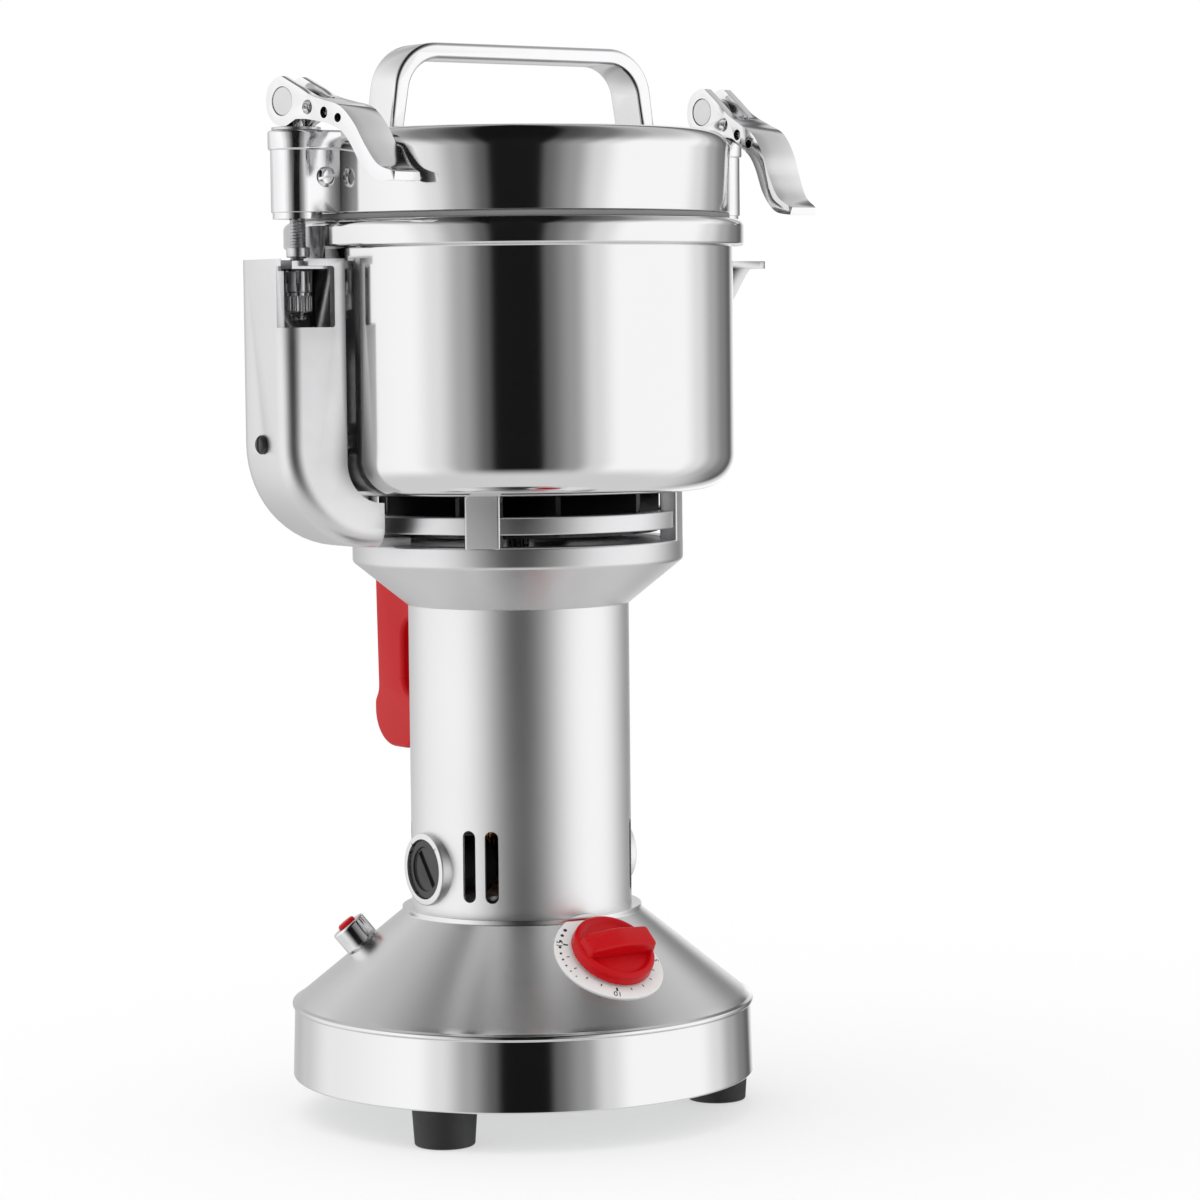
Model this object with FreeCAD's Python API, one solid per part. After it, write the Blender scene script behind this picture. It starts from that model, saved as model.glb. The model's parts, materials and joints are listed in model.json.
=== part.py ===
"""Electric grain mill with a swing-aside clamped lid, built as separate pieces.

Millimetres. The origin is where the motor's axis meets the table, and +Z points up.
-Y is the front, with the timer knob; -X is the hinge side, with the arm; +X is the latch side.
"""
import FreeCAD, Part
import math
import os
from FreeCAD import Vector

# Whole machine, from the table up
FOOT_TOP = 14.0
BASE_RADIUS = 80.0
SHOULDER_Z = 39.0
CONE_FOOT_RADIUS = 79.0
CONE_TOP_RADIUS = 41.5
CONE_TOP_Z = 69.6
SHEET = 1.2
COLUMN_RADIUS = 38.1
COLUMN_BOTTOM = 71.4
COLUMN_TOP = 176.0
RING_RADIUS = 57.0
RING_BOTTOM = 191.0
RING_TOP = 198.0
DRUM_BOTTOM = 215.0
DRUM_RADIUS = 75.0
DRUM_WALL = 1.6
DRUM_FLOOR = 2.5
FLANGE_RADIUS = 79.0
FLANGE_BOTTOM = 298.0
FLANGE_TOP = 307.0
LID_RADIUS = 74.5
LID_BOTTOM = 309.0
LID_TOP = 337.0
HANDLE_TOP = 366.5

# Motor
MOTOR_GAP = 0.6
STATOR_Z = (112.0, 158.0)
ARMATURE_RADIUS = 18.5
COMMUTATOR_Z = (79.0, 95.0)
SHAFT_RADIUS = 4.0
SHAFT_Z = (62.0, 250.0)
BRUSH_Z = 86.5
RUNNING_GAP = 0.05

# Clamp rods and cam levers
ROD_OFFSET = 85.4
ROD_RADIUS = 2.8
PIVOT_Z = 346.0
CAM_RADIUS = 8.4
CAM_LIFT = 0.9
CAM_SWEEP = 100.0
LEVER_TURNS = {-1: 14.0, 1: 7.0}
LEFT_LEVER_RAISED = 12.0
BARREL_RADIUS = 4.8
CHEEK_OUTER = 6.3
CHEEK_INNER = 3.2
WASHER_Z = (336.5, 337.5)
LUG_Z = (290.7, 293.3)
NUT_Z = (276.4, 290.4)
NUT_RADIUS = 4.4

# Arm on the hinge side
ARM_OUTER = 100.0
ARM_INNER = 77.0
ARM_HALF = 16.0
ARM_WALL = 3.0
ARM_TOP = 294.0
ARM_BEND_Z = 233.0
ARM_BEND_RADIUS = 35.0

# Rear grip and lid handle fixings
GRIP_SCREW_Z = (134.0, 166.0)
HANDLE_LEG_X = 50.9

# Controls on the sloping part of the base
TIMER_AZIMUTH = -90.0
TIMER_RADIUS = 54.0
RESET_AZIMUTH = 147.0
RESET_RADIUS = 55.5


def cylinder(radius, low, high, x=0.0, y=0.0):
    """An upright cylinder from one height to another."""
    return Part.makeCylinder(radius, high - low, Vector(x, y, low))


def tube(outer, inner, low, high, x=0.0, y=0.0):
    """An upright tube."""
    return cylinder(outer, low, high, x, y).cut(cylinder(inner, low - 1, high + 1, x, y))


def block(x_span, y_span, z_span):
    """A box given by its two limits along each axis."""
    size = [span[1] - span[0] for span in (x_span, y_span, z_span)]
    return Part.makeBox(*size, Vector(x_span[0], y_span[0], z_span[0]))


def rod_along(radius, start, end):
    """A round bar between two points."""
    way = Vector(*end) - Vector(*start)
    return Part.makeCylinder(radius, way.Length, Vector(*start), way)


def joined(shapes):
    """The pieces fused into one solid, with coplanar faces merged."""
    whole = shapes[0]
    for shape in shapes[1:]:
        whole = whole.fuse(shape)
    return whole.removeSplitter()


def corner(before, at, after):
    """Where a rounded corner's arc starts, passes and ends, or only its point when it is sharp."""
    here = Vector(at[0], at[1], 0)
    if len(at) < 3 or at[2] == 0:
        return [here]
    one = (Vector(before[0], before[1], 0) - here).normalize()
    two = (Vector(after[0], after[1], 0) - here).normalize()
    half = one.getAngle(two) / 2
    reach = at[2] / math.tan(half)
    middle = (one + two).normalize()
    centre = here + middle * (at[2] / math.sin(half))
    return [here + one * reach, centre - middle * at[2], here + two * reach]


def outline(corners, to_space):
    """A closed face from corners (u, v) or (u, v, radius), placed by the function to_space."""
    count = len(corners)
    stops = [corner(corners[i - 1], corners[i], corners[(i + 1) % count]) for i in range(count)]
    edges = []
    for index, stop in enumerate(stops):
        points = [to_space(p.x, p.y) for p in stop]
        if len(points) == 3:
            edges.append(Part.Arc(*points).toShape())
        following = stops[(index + 1) % count][0]
        next_start = to_space(following.x, following.y)
        if (next_start - points[-1]).Length > 1e-6:
            edges.append(Part.LineSegment(points[-1], next_start).toShape())
    return Part.Face(Part.Wire(edges))


def turned(corners):
    """A solid of revolution about the motor's axis, from corners (radius, height, rounding)."""
    face = outline(corners, lambda u, v: Vector(u, 0, v))
    return face.revolve(Vector(0, 0, 0), Vector(0, 0, 1), 360)


def side_plate(corners, half_width, middle=0.0):
    """An outline in the XZ plane made solid to both sides of y = middle."""
    face = outline(corners, lambda u, v: Vector(u, middle - half_width, v))
    return face.extrude(Vector(0, 2 * half_width, 0))


def plan_plate(corners, low, high):
    """An outline seen from above made solid between two heights."""
    face = outline(corners, lambda u, v: Vector(u, v, low))
    return face.extrude(Vector(0, 0, high - low))


def spun(shape, degrees, x=0.0, y=0.0):
    """A copy turned about an upright axis."""
    copy = shape.copy()
    copy.rotate(Vector(x, y, 0), Vector(0, 0, 1), degrees)
    return copy


def ring_of(shape, angles):
    """Copies of a shape about the motor's axis."""
    return [spun(shape, angle) for angle in angles]


def cone_height(radius):
    """Height of the base's sloping face at a distance from the axis."""
    share = (CONE_FOOT_RADIUS - radius) / (CONE_FOOT_RADIUS - CONE_TOP_RADIUS)
    return SHOULDER_Z + (CONE_TOP_Z - SHOULDER_Z) * share


def on_cone(shape, azimuth, radius, lift=0.0):
    """A shape drawn with +Z outwards and +Y up the slope, set on the base's cone."""
    rise = CONE_TOP_Z - SHOULDER_Z
    run = CONE_FOOT_RADIUS - CONE_TOP_RADIUS
    slope = math.hypot(rise, run)
    across = math.radians(azimuth)
    outward = Vector(math.cos(across), math.sin(across), 0)
    normal = outward * (rise / slope) + Vector(0, 0, run / slope)
    uphill = outward * (-run / slope) + Vector(0, 0, rise / slope)
    placed = shape.copy()
    spot = outward * radius + Vector(0, 0, cone_height(radius)) + normal * lift
    turn = FreeCAD.Rotation(uphill.cross(normal), uphill, normal, "ZXY")
    placed.Placement = FreeCAD.Placement(spot, turn)
    return placed


# Base

def base_cone_skin(thickness):
    """A thin conical layer that lies on the base's slope."""
    inner = [(CONE_FOOT_RADIUS, SHOULDER_Z), (CONE_TOP_RADIUS, CONE_TOP_Z)]
    nudge = Vector(CONE_TOP_Z - SHOULDER_Z, CONE_FOOT_RADIUS - CONE_TOP_RADIUS, 0).normalize()
    outer = [(point[0] + nudge.x * thickness, point[1] + nudge.y * thickness) for point in inner]
    return turned([inner[0], outer[0], outer[1], inner[1]])


def base_shell():
    """Spun steel base: upright skirt, beaded shoulder, cone and the seat for the column."""
    shell = turned([
        (74.0, 13.0), (BASE_RADIUS, 13.0), (79.2, 37.2), (80.0, 37.8), (80.0, 38.7), (79.6, 39.0),
        (78.5, cone_height(78.5)), (CONE_TOP_RADIUS, CONE_TOP_Z), (CONE_TOP_RADIUS, COLUMN_BOTTOM),
        (33.0, COLUMN_BOTTOM), (33.0, COLUMN_BOTTOM - 1.4), (40.3, COLUMN_BOTTOM - 1.4),
        (40.3, CONE_TOP_Z - 1.0), (77.9, SHOULDER_Z - 1.0), (78.0, FOOT_TOP), (74.0, FOOT_TOP),
    ])
    timer_hole = on_cone(cylinder(5.2, -8, 8), TIMER_AZIMUTH, TIMER_RADIUS)
    reset_hole = on_cone(cylinder(5.2, -8, 8), RESET_AZIMUTH, RESET_RADIUS)
    cord_hole = rod_along(6.0, (0, 70, 26), (0, 90, 26))
    return shell.cut(timer_hole).cut(reset_hole).cut(cord_hole)


def base_plate():
    """Steel floor plate with air slots and screw holes."""
    plate = turned([(0, FOOT_TOP), (77.6, FOOT_TOP), (77.6, FOOT_TOP + 1.5), (0, FOOT_TOP + 1.5)])
    slot = plan_plate([(-14, 20, 2.4), (14, 20, 2.4), (14, 25, 2.4), (-14, 25, 2.4)], 13, 17)
    for angle in (0, 90, 180, 270):
        plate = plate.cut(spun(slot, angle))
    for screw in ring_of(cylinder(2.1, 13, 17, 68), FOOT_ANGLES):
        plate = plate.cut(screw)
    return plate


FOOT_ANGLES = (94.0, -26.0, -146.0)


def rubber_feet():
    """Three tapered rubber feet with a recess for the screw."""
    foot = turned([(0, 0), (9.6, 0), (10.3, 0.8), (11.0, FOOT_TOP - 1.0), (0, FOOT_TOP - 1.0)])
    foot = foot.cut(cylinder(4.4, -1, 6)).cut(cylinder(2.1, 5, 20))
    foot.translate(Vector(68, 0, 0))
    return Part.Compound(ring_of(foot, FOOT_ANGLES))


def foot_screws():
    """Pan-head screws that hold the feet and the floor plate."""
    screw = joined([cylinder(3.8, 4.0, 6.0, 68), cylinder(2.0, 6.0, 22.0, 68)])
    return Part.Compound(ring_of(screw, FOOT_ANGLES))


def cord_inlet():
    """Rubber grommet in the back of the base, where a power cord would enter."""
    collar = rod_along(8.5, (0, 77.0, 26), (0, 83.0, 26)).cut(cylinder(BASE_RADIUS, 13.5, 36.5))
    neck = rod_along(5.9, (0, 75.0, 26), (0, 81.0, 26))
    bore = rod_along(3.4, (0, 70, 26), (0, 90, 26))
    return joined([collar, neck]).cut(bore)


# Controls

def dial_plate():
    """Thin printed ring that follows the cone round the timer knob."""
    disc = on_cone(tube(19.5, 5.2, -8, 8), TIMER_AZIMUTH, TIMER_RADIUS)
    return base_cone_skin(0.6).common(disc)


def timer_body():
    """Clockwork timer switch under the slope, with its threaded neck."""
    can = joined([cylinder(17.5, -26, -7), cylinder(4.9, -7, 0.9), block((-21, 21), (-4, 4), (-9, -7))])
    return on_cone(can.cut(cylinder(3.1, -16, 4)), TIMER_AZIMUTH, TIMER_RADIUS)


def timer_spindle():
    """Flatted shaft of the timer, which carries the knob."""
    shaft = cylinder(3.0, -14, 7.5).cut(block((-4, 4), (2.2, 4), (1.5, 8)))
    return on_cone(shaft, TIMER_AZIMUTH, TIMER_RADIUS)


def timer_knob():
    """Round red knob: rounded skirt, sunken face and a raised bar to grip."""
    skirt = turned([
        (0, 1.4), (14.6, 1.4), (14.2, 4.6), (13.2, 5.5), (12.2, 5.5), (11.0, 4.4), (0, 4.4),
    ])
    bar = side_plate([(-13.4, 4.0), (-12.0, 8.6, 2.2), (0, 10.4, 24.0), (13.2, 9.4, 1.8), (14.2, 4.0)], 4.0)
    shape = joined([skirt, bar])
    socket = cylinder(3.0, 0, 7.5).cut(block((-4, 4), (2.2, 4), (1.5, 8)))
    return on_cone(shape.cut(socket), TIMER_AZIMUTH, TIMER_RADIUS)


def reset_collar():
    """Bright collar round the overload reset button."""
    collar = turned([(3.7, 0.1), (6.35, 0.1), (6.35, 7.3), (5.7, 8.0), (3.7, 8.0)])
    neck = tube(4.9, 3.7, -4.0, 0.1)
    return on_cone(joined([collar, neck]), RESET_AZIMUTH, RESET_RADIUS, 0.3)


def reset_button():
    """Red push button inside the collar."""
    return on_cone(turned([(0, 1.8), (3.3, 1.8), (3.3, 8.8), (2.7, 9.4), (0, 9.4)]), RESET_AZIMUTH, RESET_RADIUS, 0.3)


def breaker_body():
    """Overload breaker behind the button, with its two tabs."""
    case = block((-7, 7), (-8, 8), (-22, -4))
    tabs = [block((x - 0.4, x + 0.4), (-3, 3), (-29, -22)) for x in (-4, 4)]
    bore = cylinder(3.5, -8, -3)
    return on_cone(joined([case.cut(bore)] + tabs), RESET_AZIMUTH, RESET_RADIUS, 0.3)


# Motor and its column

def column_tube():
    """Brushed steel motor tube with brush openings and upright air slots."""
    wall = tube(COLUMN_RADIUS, COLUMN_RADIUS - SHEET, COLUMN_BOTTOM, COLUMN_TOP)
    for side in (-1, 1):
        boss = rod_along(12.5, (side * 34, 0, BRUSH_Z), (side * 40.2, 0, BRUSH_Z))
        wall = wall.fuse(boss.cut(cylinder(COLUMN_RADIUS - SHEET, 60, 120)))
        wall = wall.cut(rod_along(10.3, (side * 30, 0, BRUSH_Z), (side * 45, 0, BRUSH_Z)))
    slot = outline([(-2.4, 76.5, 2.3), (2.4, 76.5, 2.3), (2.4, 101, 2.3), (-2.4, 101, 2.3)],
                   lambda u, v: Vector(30, u, v)).extrude(Vector(12, 0, 0))
    for quarter in (-90, 90):
        for angle in (-60.8, -48.4, 48.4, 60.8):
            wall = wall.cut(spun(slot, quarter + angle))
    for hole in grip_screw_shanks(1.65):
        wall = wall.cut(hole)
    return wall.removeSplitter()


def end_bracket():
    """Lower motor bracket that stands on the base and holds the lower bearing."""
    inner = COLUMN_RADIUS - SHEET - 0.02
    bracket = turned([
        (4.6, 62.0), (13.0, 62.0), (13.0, 70.0), (33.0, 70.0), (33.0, COLUMN_BOTTOM), (inner, COLUMN_BOTTOM),
        (inner, 76.0), (32.0, 76.0), (30.0, 72.6), (11.0, 72.6), (11.0, 65.0), (4.6, 65.0),
    ])
    window = plan_plate([(16, -5, 2), (28, -8, 2), (28, 8, 2), (16, 5, 2)], 60, 80)
    for angle in (45, 135, 225, 315):
        bracket = bracket.cut(spun(window, angle))
    return bracket


def bearing(low):
    """Ball bearing shown as its outer ring and shields; the shaft runs in its bore."""
    return turned([
        (SHAFT_RADIUS + RUNNING_GAP, low), (11.0, low), (11.0, low + 7.0),
        (SHAFT_RADIUS + RUNNING_GAP, low + 7.0),
    ])


def stator_core():
    """Laminated field ring with two pole shoes round the armature."""
    low, high = STATOR_Z
    ring = tube(35.6, 29.0, low, high)
    shoe = tube(30.0, ARMATURE_RADIUS + MOTOR_GAP, low, high)
    wedge = plan_plate([(0, 0), (0.2, -34), (34, -34), (34, 34), (0.2, 34)], low, high)
    keep = wedge.common(block((14, 40), (-15.5, 15.5), (low, high)))
    poles = [shoe.common(spun(keep, angle)) for angle in (90, 270)]
    return joined([ring] + poles)


def field_coils():
    """Two racetrack windings round the pole shoes."""
    low, high = STATOR_Z
    coil = tube(28.4, 22.0, low - 9.0, high + 9.0).common(block((8, 30), (-26, 26), (low - 9, high + 9)))
    core = block((0, 40), (-16.2, 16.2), (low - 0.4, high + 0.4))
    return Part.Compound([spun(coil.cut(core), angle) for angle in (90, 270)])


def brush_holders():
    """Square brass guides in moulded sleeves, one each side of the commutator."""
    pieces = []
    for side in (-1, 1):
        sleeve = rod_along(10.0, (side * 17, 0, BRUSH_Z), (side * 35.2, 0, BRUSH_Z))
        x_cut = sorted((side * 10, side * 40))
        pieces.append(sleeve.cut(block(x_cut, (-3.3, 3.3), (BRUSH_Z - 4.6, BRUSH_Z + 4.6))))
    return Part.Compound(pieces)


def carbon_brushes():
    """Two carbon blocks that ride on the commutator."""
    pieces = []
    for side in (-1, 1):
        x_span = sorted((side * 10, side * 25))
        stick = block(x_span, (-3.2, 3.2), (BRUSH_Z - 4.5, BRUSH_Z + 4.5))
        pieces.append(stick.cut(cylinder(12.35, 60, 120)))
    return Part.Compound(pieces)


def brush_springs():
    """Springs that push the brushes in, each shown as a sleeve."""
    pieces = []
    for side in (-1, 1):
        sleeve = rod_along(2.9, (side * 25, 0, BRUSH_Z), (side * 35, 0, BRUSH_Z))
        pieces.append(sleeve.cut(rod_along(2.2, (side * 24, 0, BRUSH_Z), (side * 36, 0, BRUSH_Z))))
    return Part.Compound(pieces)


def brush_cap(side):
    """Black screw cap over a brush, with a coin slot across its face."""
    cap = rod_along(10.2, (side * 35.2, 0, BRUSH_Z), (side * 39.4, 0, BRUSH_Z))
    rim = rod_along(7.6, (side * 38.6, 0, BRUSH_Z), (side * 41, 0, BRUSH_Z))
    x_cut = sorted((side * 37.4, side * 41))
    slot = block(x_cut, (-1.1, 1.1), (BRUSH_Z - 7, BRUSH_Z + 7))
    slot.rotate(Vector(0, 0, BRUSH_Z), Vector(1, 0, 0), -38)
    return cap.cut(rim).cut(slot)


def rotor_shaft():
    """Motor shaft from the lower bearing up into the bowl, threaded at the top."""
    low, high = SHAFT_Z
    return turned([
        (0, low + 3.5), (SHAFT_RADIUS, low + 3.5), (SHAFT_RADIUS, 244.0), (3.0, 244.0), (3.0, high, 0.6), (0, high),
    ])


def armature_core():
    """Stack of laminations with winding slots."""
    low, high = STATOR_Z[0] + 1, STATOR_Z[1] - 1
    core = tube(ARMATURE_RADIUS, SHAFT_RADIUS, low, high)
    slot = block((9.5, 20), (-1.3, 1.3), (low - 1, high + 1))
    for turn in range(12):
        core = core.cut(spun(slot, turn * 30))
    return core


def armature_winding():
    """Copper end windings and the bars that fill the slots."""
    low, high = STATOR_Z[0] + 1, STATOR_Z[1] - 1
    heads = [
        turned([(SHAFT_RADIUS, low - 9), (13, low - 9), (17, low), (SHAFT_RADIUS, low)]),
        turned([(SHAFT_RADIUS, high), (17, high), (13, high + 9), (SHAFT_RADIUS, high + 9)]),
    ]
    bar = block((9.6, 16.5), (-1.2, 1.2), (low, high))
    return joined(heads + ring_of(bar, [turn * 30 for turn in range(12)]))


def commutator():
    """Segmented copper commutator under the winding."""
    low, high = COMMUTATOR_Z
    drum = turned([(SHAFT_RADIUS, low), (12.0, low), (12.0, high), (13.4, high), (13.4, high + 2.5),
                   (SHAFT_RADIUS, high + 2.5)])
    slit = block((11.0, 14), (-0.3, 0.3), (low - 1, high + 4))
    for turn in range(12):
        drum = drum.cut(spun(slit, turn * 30))
    return drum


def cooling_fan():
    """Centrifugal fan that draws air up the column and out under the bowl."""
    hub = tube(9.0, SHAFT_RADIUS, 200.6, 212.0)
    plate = tube(44.0, SHAFT_RADIUS, 200.6, 202.4)
    blade = plan_plate([(8, -0.7), (43.5, 9.3), (43.5, 10.8), (8, 0.7)], 202.0, 211.0)
    return joined([hub, plate] + ring_of(blade, [turn * 40 for turn in range(9)]))


# Bracket that carries the bowl

def bowl_bracket():
    """Cast bracket: flare, ring, four pillars, mid ring and the upper bearing seat."""
    flare = turned([
        (36.4, 170.0), (36.88, 170.0), (36.88, COLUMN_TOP), (38.4, COLUMN_TOP), (RING_RADIUS, RING_BOTTOM),
        (RING_RADIUS, RING_TOP), (50.0, RING_TOP), (50.0, 193.4), (34.5, 181.0), (34.5, 170.0),
    ])
    seat = turned([
        (6.0, 178.0), (14.0, 178.0), (14.0, 186.5), (46.0, 189.5), (50.4, 194.0), (50.4, 196.0), (44.0, 192.4),
        (11.0, 189.6), (11.0, 181.0), (6.0, 181.0),
    ])
    window = plan_plate([(18, -6, 2), (38, -13, 2), (38, 13, 2), (18, 6, 2)], 170, 200)
    for angle in (0, 72, 144, 216, 288):
        seat = seat.cut(spun(window, angle))
    wall = tube(RING_RADIUS - 0.4, 51.2, RING_TOP - 1, DRUM_BOTTOM)
    pillar = block((40, 60), (-6, 6), (RING_TOP - 1, DRUM_BOTTOM))
    pillars = [wall.common(spun(pillar, angle)) for angle in (45, 135, 225, 315)]
    mid_ring = tube(RING_RADIUS - 1.0, 50.6, 202.0, 208.0)
    drop = block((-60, -40), (-24, -19.5), (RING_TOP - 1, 202.5)).common(tube(56.0, 50.6, 190, 210))
    return joined([flare, seat] + pillars + [mid_ring, drop])


def bowl():
    """Polished grinding bowl with a rounded foot, a bead flange and a raised hub."""
    inner = DRUM_RADIUS - DRUM_WALL
    floor = DRUM_BOTTOM + DRUM_FLOOR
    return turned([
        (9.0, DRUM_BOTTOM), (DRUM_RADIUS, DRUM_BOTTOM, 12.0), (DRUM_RADIUS, FLANGE_BOTTOM),
        (FLANGE_RADIUS, FLANGE_BOTTOM), (FLANGE_RADIUS, FLANGE_TOP, 2.6), (70.5, FLANGE_TOP),
        (70.5, FLANGE_TOP - 3.5), (inner, FLANGE_TOP - 5.5), (inner, floor, 10.4), (19.0, floor),
        (15.0, 224.0), (9.0, 224.0),
    ])


def shaft_seal():
    """Rubber lip seal pressed into the bowl's hub."""
    return turned([(SHAFT_RADIUS + 0.08, 216.0), (9.0, 216.0), (9.0, 223.4), (5.4, 223.4), (5.4, 217.6),
                   (SHAFT_RADIUS + 0.08, 217.6)])


def blade_plan(reach, root, tip, sweep):
    """One blade arm's outline: parallel root, swept edge, clipped tip."""
    return [(0, -root), (reach * 0.55, -root), (reach, -tip + sweep, 1.0), (reach - 4, tip + sweep, 1.0),
            (reach * 0.45, root), (0, root)]


def lower_blade():
    """Two-armed blade that sweeps close to the bowl's floor, tips bent up."""
    arm = plan_plate(blade_plan(52.0, 9.0, 5.0, 4.0), 227.0, 229.5)
    tip = plan_plate([(44, -1), (61, 0, 1.5), (58, 8, 1.5), (44, 6)], 227.0, 229.5)
    tip.rotate(Vector(47, 0, 228.2), Vector(0, 1, 0), -28)
    both = [joined([arm, tip, cylinder(10.5, 227.0, 229.5)])]
    return joined(both + [spun(both[0], 180)]).cut(cylinder(SHAFT_RADIUS, 220, 240))


def upper_blade():
    """Shorter blade set across the lower one."""
    arm = plan_plate(blade_plan(44.0, 8.0, 4.5, 3.5), 238.5, 241.0)
    both = [spun(joined([arm, cylinder(9.5, 238.5, 241.0)]), angle) for angle in (90, 270)]
    return joined(both).cut(cylinder(SHAFT_RADIUS, 220, 250))


def blade_spacers():
    """Hub sleeve under the lower blade and the sleeve between the blades."""
    return Part.Compound([tube(8.0, SHAFT_RADIUS, 224.6, 227.0), tube(8.0, SHAFT_RADIUS, 229.5, 238.5)])


def blade_nut():
    """Left-hand cap nut that clamps the blades."""
    flats = [(7.2 * math.cos(math.radians(60 * k)), 7.2 * math.sin(math.radians(60 * k))) for k in range(6)]
    hexagon = plan_plate(flats, 242.2, 249.0)
    washer = tube(8.0, SHAFT_RADIUS, 241.0, 242.2)
    dome = turned([(0, 248.9), (6.0, 248.9), (5.4, 251.4), (3.4, 253.0), (0, 253.2)])
    bore = joined([cylinder(SHAFT_RADIUS, 240, 244), cylinder(3.0, 243, 250)])
    return joined([washer, hexagon, dome]).cut(bore)


# Hinge side arm, lugs and the rear grip

def arm_path(inset):
    """Side outline of the arm, drawn in from its outer face by the given amount."""
    outer = -ARM_OUTER + inset
    bottom = RING_TOP + inset
    inner = -ARM_INNER + (6.0 if inset else 0.0)
    low_end = -63.0 + (8.0 if inset else 0.0)
    top = ARM_TOP + (4.0 if inset else 0.0)
    floor = 213.0 + (16.0 if inset else 0.0)
    return [(outer, top), (outer, bottom, ARM_BEND_RADIUS - inset), (low_end, bottom),
            (low_end, floor), (inner, floor, 0.0 if inset else 13.5), (inner, top)]


def hinge_arm():
    """Cast channel arm that rises from the bracket ring to the lid's hinge, with a nut window."""
    outside = side_plate(arm_path(0.0), ARM_HALF)
    long_edges = [
        edge for edge in outside.Edges
        if abs(abs(edge.CenterOfMass.y) - ARM_HALF) < 0.01 and is_back_edge(edge)
    ]
    outside = outside.makeFillet(6.5, long_edges)
    channel = side_plate(arm_path(ARM_WALL), ARM_HALF - ARM_WALL)
    window = block((-101, -81), (-17, -10.6), (271.5, 291.6))
    notch = block((-99.2, -90.8), (-17, -9), (290, 295))
    screw_hole = rod_along(2.2, (-104, 0, ARM_BEND_Z), (-90, 0, ARM_BEND_Z))
    tongue = block((-64, -49.5), (-10, 10), (RING_TOP, 201.0))
    arm = outside.cut(channel).cut(window).cut(notch).cut(screw_hole)
    return joined([arm, tongue])


def is_back_edge(edge):
    """Whether an edge of the arm runs along its outer face, bend or underside."""
    spot = edge.CenterOfMass
    on_back = abs(spot.x + ARM_OUTER) < 0.01
    on_bottom = abs(spot.z - RING_TOP) < 0.01
    centre = Vector(-ARM_OUTER + ARM_BEND_RADIUS, spot.y, RING_TOP + ARM_BEND_RADIUS)
    ends = [(vertex.Point - centre).Length for vertex in edge.Vertexes]
    on_bend = all(abs(reach - ARM_BEND_RADIUS) < 0.01 for reach in ends)
    return on_back or on_bottom or on_bend


def hinge_lug():
    """Welded lug in the arm's top that the hinge rod turns in, with its upright stop tab."""
    plate = block((-95.0, -70), (-12.6, 12.6), LUG_Z).cut(cylinder(DRUM_RADIUS, 280, 300))
    plate = plate.cut(cylinder(ROD_RADIUS + 0.35, 280, 300, -ROD_OFFSET))
    tab = block((-81.1, -79.05), (-7, 7), (LUG_Z[0], 305.0))
    web = side_plate([(-95, 290.8), (-95, 288.0), (-77, 262.0), (-70, 262.0), (-70, 290.8)], 1.5, 11.0)
    return joined([plate, tab, web.cut(cylinder(DRUM_RADIUS, 250, 300))])


def arm_spacer():
    """Threaded post between the bowl's wall and the arm's back, for the arm's screw."""
    post = rod_along(5.5, (-96.5, 0, ARM_BEND_Z), (-70, 0, ARM_BEND_Z)).cut(cylinder(DRUM_RADIUS, 200, 260))
    return post.cut(rod_along(2.0, (-98, 0, ARM_BEND_Z), (-85, 0, ARM_BEND_Z)))


def arm_screw():
    """Black slotted screw in the arm's back."""
    head = rod_along(3.2, (-ARM_OUTER - 1.8, 0, ARM_BEND_Z), (-ARM_OUTER, 0, ARM_BEND_Z))
    shank = rod_along(1.95, (-ARM_OUTER - 0.5, 0, ARM_BEND_Z), (-86, 0, ARM_BEND_Z))
    slot = block((-ARM_OUTER - 2, -ARM_OUTER - 0.9), (-0.5, 0.5), (ARM_BEND_Z - 4, ARM_BEND_Z + 4))
    return joined([head, shank]).cut(slot)


def latch_lug():
    """Slotted lug on the latch side; the slot opens to the back so that the rod can swing out."""
    plate = plan_plate([(70, -13), (100, -13, 5), (100, 13, 3), (70, 13)], *LUG_Z)
    mouth = block((ROD_OFFSET - 3.9, ROD_OFFSET + 3.8), (0, 20), (280, 300))
    seat = cylinder(3.8, 280, 300, ROD_OFFSET)
    web = side_plate([(70, 290.8), (92, 290.8), (90, 288.5), (78, 270.0), (70, 270.0)], 1.3, -10.6)
    whole = joined([plate, web]).cut(mouth).cut(seat)
    return whole.cut(cylinder(DRUM_RADIUS, 250, 300))


def rear_grip():
    """Red moulded grip behind the motor column, with a finger gap and a rounded heel."""
    outer = outline([
        (30, 190), (79.5, 190, 3.0), (78.0, 141.0, 6.0), (80.5, 137.0, 4.0), (80.5, 121.0, 13.0), (57, 121.0, 8.0),
        (50, 128.0, 5.0), (30, 128.0),
    ], lambda u, v: Vector(-10.5, u, v)).extrude(Vector(21, 0, 0))
    gap = outline([(44, 140, 7), (61, 140, 7), (61, 168, 7), (44, 168, 7)],
                  lambda u, v: Vector(-20, u, v)).extrude(Vector(40, 0, 0))
    edges = [edge for edge in outer.Edges if abs(abs(edge.CenterOfMass.x) - 10.5) < 0.01 and edge.CenterOfMass.y > 52
             and edge.CenterOfMass.z < 185]
    outer = outer.makeFillet(4.5, edges)
    flare = Part.makeCone(38.4, 57.3, 15.0, Vector(0, 0, COLUMN_TOP))
    ring = cylinder(57.3, RING_BOTTOM - 0.1, 220)
    for hole in grip_screw_shanks(1.6):
        outer = outer.cut(hole)
    return outer.cut(gap).cut(cylinder(COLUMN_RADIUS, 100, 180)).cut(flare).cut(ring)


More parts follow.
